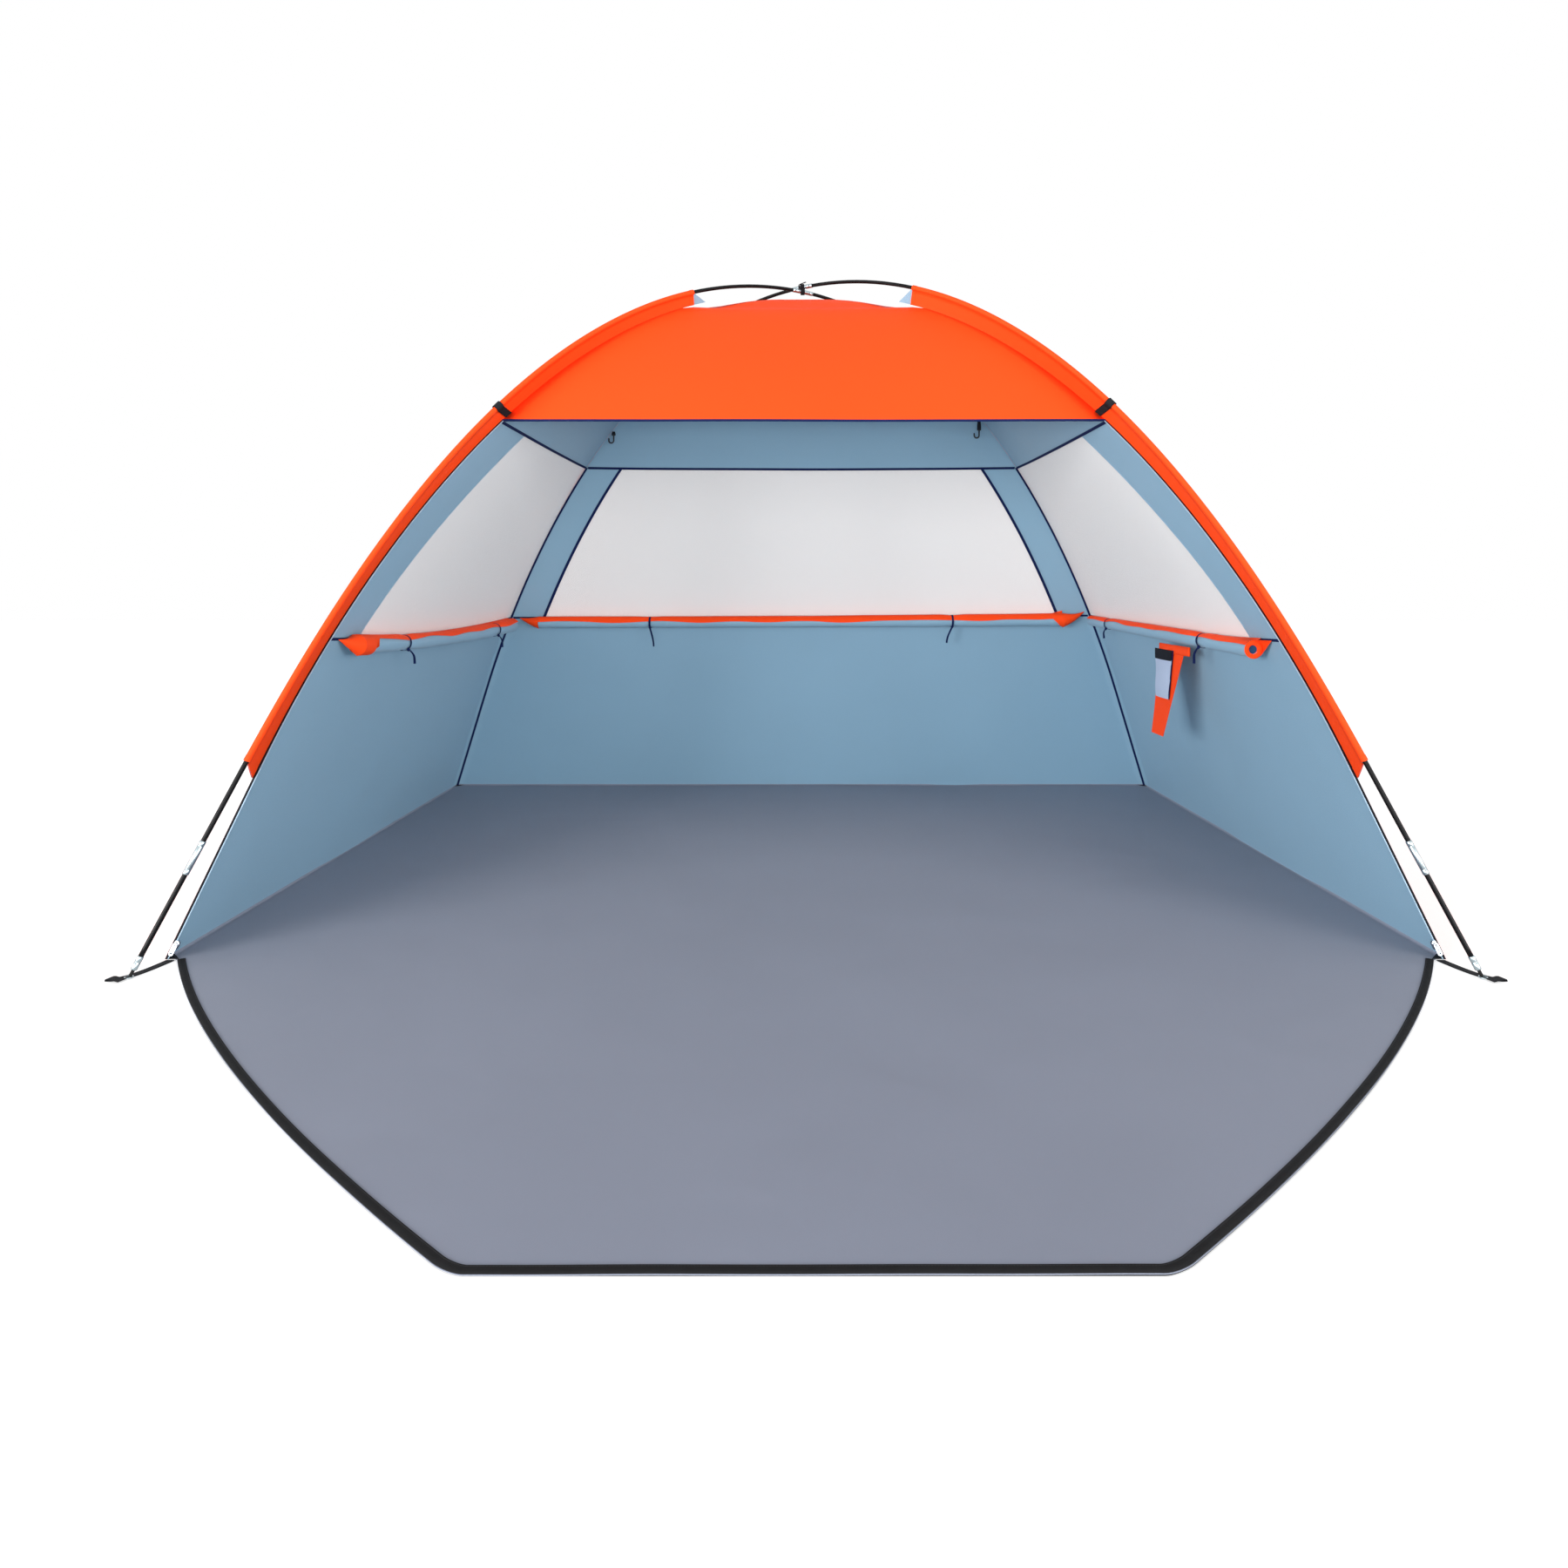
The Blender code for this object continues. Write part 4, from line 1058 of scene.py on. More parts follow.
for corner, tag in corner_words.items():
    bow = pole_bows[corner]
    leg_joint = bow.length - end_section_length
    pin_top = bow.length - pin_length
    cap_top = pin_top - cap_length
    long_stations = even_stations(rod_joint_gap / 2, leg_joint - rod_joint_gap / 2, rod_radius, 70)
    rod = bow_tube("pole_rod_" + tag, bow, corner, long_stations, black_rod)
    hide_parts("pole_section_" + tag)
    end_stations = even_stations(leg_joint + rod_joint_gap / 2, cap_top + cap_overlap, rod_radius, 12)
    end_rod = bow_tube("pole_end_rod_" + tag, bow, corner, end_stations, black_rod)
    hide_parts("pole_end_" + tag)
    ferrule_stations = crimped(leg_joint - ferrule_length / 2, leg_joint + ferrule_length / 2)
    ferrule = bow_tube("leg_ferrule_" + tag, bow, corner, ferrule_stations, ferrule_steel)
    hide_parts("pole_ferrule_" + tag)
    groove_radius = cap_radius - 0.0004
    cap_stations = [
        (cap_top, rod_radius), (cap_top + 0.0006, cap_radius - 0.0003), (cap_top + 0.0014, cap_radius),
        (cap_top + 0.0090, cap_radius), (cap_top + 0.0095, groove_radius),
        (cap_top + 0.0105, groove_radius), (cap_top + 0.0110, cap_radius),
        (pin_top - 0.0022, cap_radius), (pin_top - 0.0008, cap_radius * 0.86), (pin_top, pin_radius)]
    bow_tube("pole_cap_" + tag, bow, corner, cap_stations, ferrule_steel)
    pin_stations = [(pin_top - cap_overlap, pin_radius * 0.95), (pin_top + 0.002, pin_radius),
                    (bow.length - 0.0050, pin_radius), (bow.length - 0.0042, pin_radius * 0.8)]
    bow_tube("pole_pin_" + tag, bow, corner, pin_stations, pin_rubber)

for word, corners in (("low_pole", ((-1, -1), (1, 1))), ("high_pole", ((1, -1), (-1, 1)))):
    bow = pole_bows[corners[0]]
    half = ferrule_length / 2
    crimp = ferrule_radius - crimp_depth
    marks = [(half, ferrule_mouth_radius), (half - 0.0006, ferrule_radius), (half - 0.0080, ferrule_radius),
             (half - 0.0085, crimp), (half - 0.0095, crimp), (half - 0.0100, ferrule_radius),
             (half - 0.0160, ferrule_radius), (half - 0.0230, ferrule_radius)]
    points = [bow.spot(corners[0], place) for place, _ in marks] + [bow.spot(corners[0], 0)]
    points += [bow.spot(corners[1], place) for place, _ in reversed(marks)]
    sizes = [size for _, size in marks]
    sizes = sizes + [ferrule_radius] + sizes[::-1]
    work = tube(points, lambda index, sizes=sizes: sizes[index], rod_sides, bow.across(corners[0]))
    ferrule = make_piece(word + "_crossing_ferrule", work, "tent", [ferrule_steel])
    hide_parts(word + "_ferrule_middle")


# Lashing: thin black cord tied round both poles where they cross, so that they can't
# slide apart. It goes round four times, and its end stands up in a small curl.
lashing_radius = 0.0014
lashing_turns = 4
lashing_turn_steps = 20
lashing_half_spread = 0.0048
lashing_half_width = 0.0094
lashing_half_height = 0.0070
lashing_knot_radius = 0.0042
lashing_tail_rise = 0.0125
crossing_height = pole_height + crossing_lift / 2
lashing_front = -lashing_half_width - 0.002
lashing_knot_spot = Vector((-0.006, lashing_front, crossing_height + 0.002))
lashing_tail_start = Vector((-0.008, lashing_front, crossing_height + 0.003))
lashing_tail_lean = 0.014
lashing_tail_curl = 0.006
lashing_finish = webbing_finish("lashing_cord", colour=(0.010, 0.010, 0.012), rib=0.0012)


def tied_knot(name, spot, radius, around, stretch, swell, material):
    """A small tight knot: a ball, stretched three ways, that swells where the cord crosses itself."""
    knot = bmesh.new()
    bmesh.ops.create_uvsphere(knot, u_segments=around, v_segments=around * 2 // 3, radius=radius)
    for corner in knot.verts:
        size = 1 + swell(corner.co)
        corner.co = Vector([place * share for place, share in zip(corner.co, stretch)]) * size + spot
    make_piece(name, knot, "tent", [material])


lashing_steps = lashing_turns * lashing_turn_steps
lashing_points = []
for step in range(lashing_steps + 1):
    angle = math.radians(360) * step / lashing_turn_steps
    across = math.cos(angle) * lashing_half_width
    up = math.sin(angle) * lashing_half_height
    up += math.copysign(crossing_lift / 2, up) * min(1, abs(math.sin(angle)) * 3)
    along = between(-lashing_half_spread, lashing_half_spread, step / lashing_steps)
    lashing_points.append(Vector((along, -across, crossing_height + up)))
lashing_cord = tube(lashing_points, lambda index: lashing_radius, 8, Vector((1, 0, 0)))
lashing = make_piece("crossing_lashing_cord", lashing_cord, "tent", [lashing_finish])
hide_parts("crossing_lashing")
tied_knot("lashing_knot", lashing_knot_spot, lashing_knot_radius, 16, (1.15, 0.8, 1),
          lambda spot: 0.16 * math.sin(spot.x * 1600) * math.cos(spot.z * 1300), lashing_finish)
curl_points = []
for step in range(15):
    share = step / 14
    aside = share * lashing_tail_lean - math.sin(math.radians(210) * share) * lashing_tail_curl
    curl_points.append(lashing_tail_start + Vector((aside, 0, share * lashing_tail_rise)))
lashing_tail = tube(curl_points, lambda index: lashing_radius * 0.9, 8, Vector((0, 1, 0)))
make_piece("lashing_tail", lashing_tail, "tent", [lashing_finish])


# Pole sleeves: the canopy's orange cloth folded round each pole and sewn to the seam
# below it. They stop short of the crossing and of the feet, where the pole comes out.
sleeve_radius = 0.0056
sleeve_cloth = 0.0005
sleeve_half_gap = 0.0009
sleeve_top_reach = 0.320
sleeve_foot_reach = 0.388
sleeve_slant_run = 0.03
sleeve_foot_slant = 0.030
sleeve_lining_reach = 0.034
sleeve_pucker = 0.0010
seam_stand_off = -0.0012
hem_width = 0.010
hem_rise = 0.0005
hem_cloth = 0.0004


def wrap_section(radius, half_gap, reach):
    """A line of points round a pole and down both sides to a seam: (towards it, aside) in metres."""
    open_angle = math.asin(half_gap / radius)
    webs = [between(reach, radius * math.cos(open_angle), step / 4) for step in range(4)]
    ring = [between(-open_angle, open_angle - math.radians(360), step / 14) for step in range(15)]
    section = [(towards, -half_gap) for towards in webs]
    section += [(math.cos(angle) * radius, math.sin(angle) * radius) for angle in ring]
    return section + [(towards, half_gap) for towards in reversed(webs)]


def turn_top_up(work):
    """Turn a sheet's faces so that its highest one looks up."""
    work.normal_update()
    if max(work.faces, key=lambda face: face.calc_center_median().z).normal.z < 0:
        bmesh.ops.reverse_faces(work, faces=work.faces)


def wrap_pole(bow, corner, lengths, rise, stand_off, shift):
    """Cloth folded round one leg of a pole, a rise above the sleeve. shift moves it along the pole: it
    is given the length down the pole, the share of the way to the seam, and if this is the rear side."""
    radius = sleeve_radius + rise
    half_gap = sleeve_half_gap + rise
    columns = len(wrap_section(radius, half_gap, radius * 2)) - 1

    def place(row, column):
        length = lengths[round(row * (len(lengths) - 1))]
        centre = bow.spot(corner, length)
        ahead = bow.ahead(corner, length)
        inwards = seam_bow.spot(corner, length * seam_bow.length / bow.length) - centre
        inwards -= ahead * inwards.dot(ahead)
        reach = inwards.length - stand_off
        inwards.normalize()
        sideways = ahead.cross(inwards)
        section = wrap_section(radius, half_gap, reach)
        step = round(column * columns)
        towards, aside = section[step]
        rear = aside * sideways.y * corner[1] < 0
        share = max(towards, 0) / reach
        pucker = noise.noise(Vector((length * 22, share * 3, corner[0] * 3 + corner[1]))) * sleeve_pucker
        aside += math.copysign(pucker, aside) * math.sin(math.radians(180) * share)
        spot = centre + inwards * towards + sideways * aside + ahead * shift(length, share, rear)
        run = sum(math.dist(first, second) for first, second in zip(section[:step], section[1:step + 1]))
        return spot, (run, length)

    work = cut_cloth(len(lengths) - 1, columns, place)
    turn_top_up(work)
    return work


for corner, tag in corner_words.items():
    bow = pole_bows[corner]
    foot_end = bow.length - sleeve_foot_reach

    def slant(length, share, rear, foot_end=foot_end):
        near_foot = max(0, 1 - (foot_end - length) / sleeve_slant_run)
        near_crown = max(0, 1 - (length - sleeve_top_reach) / sleeve_slant_run) if rear else 0
        return near_foot * share * sleeve_foot_slant - near_crown * share * sleeve_lining_reach

    sleeve_lengths = [sleeve_top_reach + hem_width * step / 3 for step in range(3)]
    sleeve_lengths += [between(sleeve_top_reach + hem_width, foot_end - hem_width, step / 90)
                       for step in range(91)]
    sleeve_lengths += [foot_end - hem_width * (1 - step / 3) for step in range(1, 4)]
    wrapped = wrap_pole(bow, corner, sleeve_lengths, 0, seam_stand_off, slant)
    sleeve = make_piece("sleeve_" + tag, wrapped, "tent", [orange_side, inner_side])
    thicken(sleeve, sleeve_cloth, second_material=1)
    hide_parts("pole_sleeve_" + tag)
    for end, ends in (("crown", sleeve_lengths[:4]), ("foot", sleeve_lengths[-4:])):
        hem = make_piece(
            "sleeve_hem_" + end + "_" + tag, wrap_pole(bow, corner, ends, hem_rise, seam_stand_off, slant),
            "tent", [orange_side, inner_side])
        thicken(hem, hem_cloth, second_material=1)


# Brow keepers: a patch of black webbing bar-tacked over each front sleeve where the brow
# meets it, so that the corner of the opening can't tear.
keeper_width = 0.017
keeper_thickness = 0.0010
keeper_rise = 0.0016
keeper_stand_off = -0.003
keeper_slant = 0.016
keeper_edge = (0.005, 0.006, 0.008)
keeper_edge_width = 0.0015
keeper_webbing = webbing_finish("keeper_webbing", colour=(0.012, 0.013, 0.016), rib=0.0016,
                                edge=(keeper_edge_width, keeper_width / 2, keeper_edge))
for side, word in ((-1, "front_left"), (1, "front_right")):
    corner = (side, -1)
    bow = pole_bows[corner]
    seam_length = 0.0
    while along_line(seam_bow.line, seam_bow.lengths, seam_length).y > brow_height + keeper_width / 2:
        seam_length += keeper_width / 4
    middle = seam_length * bow.length / seam_bow.length
    keeper_lengths = [middle + keeper_width * (step / 6 - 0.5) for step in range(7)]
    work = wrap_pole(bow, corner, keeper_lengths, keeper_rise, keeper_stand_off,
                     lambda length, share, rear: -keeper_slant * share)
    # The webbing goes round the sleeve, so its own length lies round the pole.
    flat = work.loops.layers.uv.active
    for face in work.faces:
        for loop in face.loops:
            around, along = loop[flat].uv
            loop[flat].uv = (along - middle, around)
    keeper = make_piece("keeper_" + word, work, "tent", [keeper_webbing])
    thicken(keeper, keeper_thickness, side=1)
    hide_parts("brow_keeper_" + word)


# Rolled window flaps: each window has a cover of the canopy's cloth, sewn on under the sill
# and rolled up with its coated side out. Its orange side shows where it turns over the roll
# and at its ends.
roll_radius = 0.024
roll_height = sill_height - 0.012
roll_stand_off = 0.0016
side_roll_front_inset = 0.079
back_roll_inset = 0.0975
roll_turns = 2.7
roll_core_radius = 0.0085
roll_cloth = 0.0006
roll_row_pitch = 0.012
roll_unevenness = 0.0006
roll_ripple = 0.0005
tie_squeeze = 0.15
tie_reach = 0.022
side_tie_front_inset = 0.238
side_tie_rear_inset = 0.162
back_tie_inset = 0.345
cover_cloth = 0.0005
cover_rise = 0.0042
cover_sill_gap = 0.0026
cover_top_gap = 0.0016
cover_gap = 0.0012
cover_girth = 0.04
cover_sewn_share = 0.2
cover_top_degrees = 112
cover_wrap_degrees = -88
cover_edge_degrees = {"left": 30, "right": 30, "back": 8}
cover_edge_wave = 26
left_cover_reach = 0.066
left_cover_ease = 0.016
back_cover_ease = 0.034
peak_length = 0.045
peak_rise = 0.014
upwards = Vector((0, 0, 1))


def wall_hold(half_size):
    """Where a level roll rests against a leaning wall: how far out from the middle, and how high."""
    run = run_at(seam_line, roll_height) / seam_run
    lower_run = run_at(seam_line, roll_height - roll_radius) / seam_run
    lean = math.atan((lower_run - run) * half_size / roll_radius)
    reach = roll_radius + roll_stand_off
    return half_size * run - reach * math.cos(lean), roll_height - reach * math.sin(lean)


side_roll_out, side_roll_up = wall_hold(base_half_width)
back_roll_out, back_roll_up = wall_hold(base_half_depth)
roll_run = run_at(seam_line, roll_height) / seam_run
side_roll_front = -base_half_depth * roll_run + side_roll_front_inset
side_roll_rear = back_roll_out - roll_radius - roll_stand_off
back_roll_half = base_half_width * roll_run - back_roll_inset


class Roll:
    """A rolled flap: where it lies, which way the room is, how thick it is along it, how far it
    droops at its start, in its middle and at its end, and where its ties are."""

    def __init__(self, start, end, room, radii, droops, tie_insets):
        self.start = start
        self.along = (end - start).normalized()
        self.length = (end - start).length
        self.room = room
        self.radii = radii
        self.droops = droops
        self.ties = (tie_insets[0], self.length - tie_insets[1])

    def radius(self, place):
        share = place / self.length
        first, middle, last = self.radii
        if share < 0.5:
            size = between(first, middle, share * 2)
        else:
            size = between(middle, last, share * 2 - 1)
        for tie in self.ties:
            size *= 1 - tie_squeeze * math.exp(-((place - tie) / tie_reach) ** 2)
        return size + noise.noise(self.start * 3 + self.along * place * 9) * roll_unevenness

    def centre(self, place):
        """The roll hangs against the wall, so where it is thin its middle is nearer the wall."""
        spare = roll_radius - self.radius(place)
        share = place / self.length
        first, middle, last = self.droops
        droop = between(first, last, share) + middle * 4 * share * (1 - share)
        return self.start + self.along * place - upwards * droop - self.room * spare * 0.8

    def spot(self, place, degrees, radius):
        """A point round the roll: 0 degrees is towards the room and 90 is up."""
        angle = math.radians(degrees)
        return self.centre(place) + (self.room * math.cos(angle) + upwards * math.sin(angle)) * radius


side_tie_insets = (side_tie_front_inset, side_tie_rear_inset)
rolls = {
    "left": Roll(Vector((-side_roll_out, side_roll_front, side_roll_up)),
                 Vector((-side_roll_out, side_roll_rear, side_roll_up)), Vector((1, 0, 0)),
                 (0.0200, 0.0175, 0.0215), (0.000, 0.012, 0.008), side_tie_insets),
    "right": Roll(Vector((side_roll_out, side_roll_front, side_roll_up)),
                  Vector((side_roll_out, side_roll_rear, side_roll_up)), Vector((-1, 0, 0)),
                  (0.0180, 0.0175, 0.0160), (0.009, 0.000, -0.006), side_tie_insets),
    "back": Roll(Vector((-back_roll_half, back_roll_out, back_roll_up)),
                 Vector((back_roll_half, back_roll_out, back_roll_up)), Vector((0, -1, 0)),
                 (0.0180, 0.0185, 0.0205), (0.004, 0.002, -0.004), (back_tie_inset, back_tie_inset)),
}


def sill_below(word, place):
    """A spot just over the sill's seam and tape, level with a place along a roll. The back flap's
    right corner is sewn down higher up."""
    roll = rolls[word]
    spot = roll.start + roll.along * place
    across = {"left": -spot.y, "right": spot.y, "back": -spot.x}[word]
    peak = 0
    if word == "back":
        peak = max(0, 1 - (roll.length - place) / peak_length) * peak_rise
    sill = canopy_spot(word, sill_row, across, cover_sill_gap)
    return sill + upwards * (cover_rise + peak) + roll.room * cover_rise * 0.5


def turned_edge(word, place):
    """How far round the roll the orange side reaches: a wavy edge, and the whole roll at two ends."""
    roll = rolls[word]
    edge = cover_edge_degrees[word] + noise.noise(Vector((place * 7, roll.start.x, 5.0))) * cover_edge_wave
    near_end = 0
    if word == "left":
        near_end = (left_cover_reach - place) / left_cover_ease
    if word == "back":
        near_end = 1 - (roll.length - place) / back_cover_ease
    return between(edge, cover_wrap_degrees, min(max(near_end, 0), 1))


def turn_outside_out(work, middle):
    """Turn a rolled sheet's faces so that the outermost one looks away from the roll's middle."""
    work.normal_update()
    far = max(work.faces, key=lambda face: (face.calc_center_median() - middle).length)
    if far.normal.dot(far.calc_center_median() - middle) < 0:
        bmesh.ops.reverse_faces(work, faces=work.faces)


for word, roll in rolls.items():
    roll_rows = round(roll.length / roll_row_pitch)

    def wind(row, column, roll=roll):
        place = row * roll.length
        outer = roll.radius(place) - roll_cloth
        radius = between(roll_core_radius, outer, column)
        degrees = 100 + 360 * roll_turns * (column - 1)
        ripple = noise.noise(Vector((place * 14, column * 40, 2.0))) * roll_ripple * column
        run = column * roll_turns * math.radians(360) * (roll_core_radius + outer) / 2
        return roll.spot(place, degrees, radius + ripple), (place, run)

    def turn_over(row, column, word=word, roll=roll):
        place = row * roll.length
        if column < cover_sewn_share:
            over_roll = roll.spot(place, cover_top_degrees, roll.radius(place) + cover_top_gap)
            spot = sill_below(word, place).lerp(over_roll, column / cover_sewn_share)
        else:
            share = (column - cover_sewn_share) / (1 - cover_sewn_share)
            degrees = between(cover_top_degrees, turned_edge(word, place), share)
            spot = roll.spot(place, degrees, roll.radius(place) + cover_gap)
        return spot, (place, column * cover_girth)

    rolled = cut_cloth(roll_rows, round(roll_turns * 22), wind)
    turn_outside_out(rolled, roll.start + roll.along * roll.length / 2)
    roll_piece = make_piece(
        word + "_rolled_flap", rolled, "tent", [inner_side, orange_side])
    thicken(roll_piece, roll_cloth, second_material=1)
    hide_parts(word + "_window_flap_roll")
    turned = cut_cloth(roll_rows, 20, turn_over)
    turn_top_up(turned)
    cover = make_piece(word + "_turned_cloth", turned, "tent", [orange_side, inner_side])
    thicken(cover, cover_cloth, second_material=1)


# Loose corners of the rolled flaps: cloth that spreads from a roll's end to the spot on
# the sill where the cover's corner is sewn down.
side_sill_half = base_half_depth * canopy_rows[sill_row][0]
back_sill_half = base_half_width * canopy_rows[sill_row][0]
left_corner_inset = 0.035
right_corner_inset = 0.035
back_left_corner_inset = 0.030
back_right_corner_inset = 0.020
corner_cloth = 0.0006
corner_sill_gap = 0.0035
corner_rim_gap = 0.0008
corner_ripple = 0.0012


def sill_spot(panel, across):
    return canopy_spot(panel, sill_row, across, corner_sill_gap)


def corner_fan(name, roll, place, apex, low, high, fullness):
    """Cloth from the roll's rim at one end, between two angles, to the apex where it is sewn down."""
    def spread(row, column):
        rim = roll.spot(place, between(low, high, column), roll.radius(place) + corner_rim_gap)
        swell = math.sin(math.radians(180) * row)
        spot = rim.lerp(apex, row) + (roll.room * 0.8 - upwards * 0.6) * fullness * swell
        ripple = noise.noise(spot * 60) * corner_ripple * swell
        return spot + roll.room * ripple, (column * cover_girth, row * (rim - apex).length)

    work = cut_cloth(14, 12, spread)
    join_edges(work)
    fan = make_piece(name, work, "tent", [orange_side])
    thicken(fan, corner_cloth, side=0)


corner_fan("left_flap_corner", rolls["left"], 0,
           sill_spot("left", side_sill_half - left_corner_inset), -88, 112, 0.004)
corner_fan("right_flap_corner", rolls["right"], 0,
           sill_spot("right", -side_sill_half + right_corner_inset), 80, 222, 0.0)
corner_fan("back_left_flap_corner", rolls["back"], 0,
           sill_spot("back", back_sill_half - back_left_corner_inset), -80, 80, 0.004)
corner_fan("back_right_flap_corner", rolls["back"], rolls["back"].length,
           sill_spot("back", -back_sill_half + back_right_corner_inset) + upwards * peak_rise,
           -86, 125, 0.008)


# Mouth of the right roll, the one end that can be seen into: the orange side is turned in
# over the layers, and a dark blue disc in the hollow middle is painted shade.
mouth_cloth = 0.0004
mouth_girth = 0.12
mouth_stand_out = 0.0012
core_depth = 0.0034
core_reach = 0.62
# Each ring's depth into the roll and its share of the roll's radius, from the outside in.
mouth_rings = [(0.0016, 0.985), (0.0005, 1.01), (0.0, 0.96), (0.0002, 0.78), (0.0, 0.60), (0.0006, 0.51),
               (0.0030, 0.475), (0.012, 0.465)]
mouth_roll = rolls["right"]


def turn_in(row, column):
    depth, size = mouth_rings[round(row * (len(mouth_rings) - 1))]
    rim = mouth_roll.spot(0, 360 * column, mouth_roll.radius(0) * size)
    return rim + mouth_roll.along * (depth - mouth_stand_out), (column * mouth_girth, depth)


def fill_core_with_shade(row, column):
    radius = mouth_roll.radius(0) * core_reach * row
    return mouth_roll.spot(core_depth, 360 * column, radius), (column * 0.1, row * 0.01)


mouth = cut_cloth(len(mouth_rings) - 1, 28, turn_in)
join_edges(mouth)
mouth_piece = make_piece("right_roll_mouth", mouth, "tent", [orange_side])
thicken(mouth_piece, mouth_cloth, side=0)
# Painted shade: a dark blue disc set in the roll's hollow middle, where the real roll is only in shade.
painted_shade_cloth = cloth_finish("painted_shade_cloth", colour=(0.010, 0.060, 0.150), thread=0.0006,
                            roughness=0.8, crease_depth=0.002)
core = cut_cloth(4, 24, fill_core_with_shade)
join_edges(core)
core_shade_piece = make_piece("right_roll_core", core, "tent", [painted_shade_cloth])
thicken(core_shade_piece, mouth_cloth, side=0)


# Ties: navy tape round each roll, knotted below it on the room side, with one tail that
# hangs down and leans a little, each in its own way.
tie_width = 0.006
tie_cloth = 0.0008
tie_rise = 0.0016
tie_knot_degrees = -52
tie_knot_rise = 0.0024
tie_knot_radius = 0.0036
tie_girth = 0.13
tail_curl = 0.002
tie_material = webbing_finish("tie_tape", colour=navy, rib=0.0007)
# How far each tail leans along its roll, and how far it hangs down.
tie_tails = {
    "left_roll_tie_front": (0.040, 0.036),
    "left_roll_tie_rear": (0.044, 0.038),
    "right_roll_tie_front": (0.030, 0.040),
    "right_roll_tie_rear": (0.024, 0.030),
    "back_roll_tie_left": (0.012, 0.060),
    "back_roll_tie_right": (-0.018, 0.052),
}
tie_tags = {"left": ("front", "rear"), "right": ("front", "rear"), "back": ("left", "right")}

for word, roll in rolls.items():
    for place, end in zip(roll.ties, tie_tags[word]):
        tag = word + "_roll_tie_" + end
        lean, drop = tie_tails[tag]
        knot_spot = roll.spot(place, tie_knot_degrees, roll.radius(place) + tie_knot_rise)

        def go_round(row, column, roll=roll, place=place):
            across = tie_width * (row - 0.5)
            degrees = between(tie_knot_degrees, tie_knot_degrees + 360, column)
            spot = roll.spot(place + across, degrees, roll.radius(place) + tie_rise)
            return spot, (across, column * tie_girth)

        def hang(row, column, roll=roll, knot_spot=knot_spot, lean=lean, drop=drop):
            fall = row * drop
            across = tie_width * (column - 0.5)
            twist = math.radians(30) * row + math.radians(10)
            aside = roll.along * math.cos(twist) + roll.room * math.sin(twist)
            way = roll.along * lean * math.sin(math.radians(90) * row)
            way += roll.room * tail_curl * math.sin(row * 5)
            return knot_spot + way - upwards * fall + aside * across, (across, fall)

        loop_piece = make_piece(
            tag + "_tape", cut_cloth(3, 40, go_round), "tent", [tie_material])
        thicken(loop_piece, tie_cloth, side=0)
        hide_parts(tag)
        tied_knot(tag + "_knot", knot_spot, tie_knot_radius, 12, (1, 1, 1.25),
                  lambda spot: 0.2 * math.sin(spot.z * 1500 + spot.x * 900), tie_material)
        tail = make_piece(tag + "_tail", cut_cloth(14, 2, hang), "tent", [tie_material])
        thicken(tail, tie_cloth, side=0)


# Hanging strap: a strap of the orange cloth under the right roll, sewn into a wide head and
# narrowed to its foot. It swings about the top of its head.
strap_length = 0.231
strap_head_width = 0.180
strap_head_depth = 0.022
strap_top_width = 0.145
strap_foot_width = 0.074
strap_start = 0.004
strap_lean = 0.053
strap_cloth = 0.0011
strap_sway = 0.0016
strap_y = -0.121
strap_top = side_roll_up - roll_radius - 0.0006


def strap_spot(along, drop, forward=0.0):
    """A point of the strap's plane: along is towards the rear, forward is into the room."""
    sway = noise.noise(Vector((along * 9, drop * 9, 1.0))) * strap_sway
    return Vector((side_roll_out - forward + sway, strap_y + along, strap_top - drop))


def hang_strap(row, column):
    drop = between(strap_start, strap_length, row)
    share = max(0, (drop - strap_head_depth) / (strap_length - strap_head_depth))
    rear = strap_head_width / 2 + strap_lean * share
    width = between(strap_top_width, strap_foot_width, share)
    return strap_spot(rear - width * column, drop), (width * column, drop)


strap_piece = make_piece(
    "hanging_strap_cloth", cut_cloth(24, 12, hang_strap), "hanging_strap", [orange_side])
thicken(strap_piece, strap_cloth, side=0)
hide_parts("hanging_strap")

# The head is the strap's own cloth, folded flat round its top: (drop, forward) of each fold.
head_start = 0.0005
head_half = strap_head_width / 2 - 0.001
head_crumple = 0.0012
head_girth = 0.05
head_fold = strap_head_depth - 0.004
head_section = [(head_start, -0.0016), (head_start, 0.0016), (head_fold, 0.0022),
                (strap_head_depth, 0.0014), (strap_head_depth, -0.0014), (head_fold, -0.0022)]


def fold_head(row, column):
    drop, forward = head_section[round(column * len(head_section)) % len(head_section)]
    along = between(head_half, -head_half, row)
    drop = max(head_start, drop + noise.noise(Vector((along * 30, drop * 40, 3.0))) * head_crumple)
    return strap_spot(along, drop, forward), (column * head_girth, along)


head_cloth = cut_cloth(30, len(head_section), fold_head)
close_up(head_cloth)
make_piece("strap_head", head_cloth, "hanging_strap", [orange_side])


# Blank label: a pale film label in front of the strap, sewn under a black band at its top.
# A strip of navy tape behind its edge on the side towards the opening is painted shadow.
label_rear = 0.107
label_top_width = 0.106
label_foot_width = 0.080
label_start = 0.014
label_band_end = 0.040
label_film_start = label_band_end - 0.002
label_end = 0.134
label_shadow_strip_width = 0.006
label_cloth = 0.0005
label_shadow_strip_cloth = 0.0006
label_shadow_strip_forward = 0.0032
label_forward = 0.0036
label_band_forward = 0.0042
label_bow = 0.0020
label_wave = 0.0012
label_band = webbing_finish("label_band", colour=(0.012, 0.013, 0.018), rib=0.0010)
label_film = cloth_finish("blank_label", colour=(0.42, 0.50, 0.66), thread=0.0005,
                          roughness=0.45, crease_depth=0.004)


def label_width(drop):
    return between(label_top_width, label_foot_width, (drop - label_start) / (label_end - label_start))


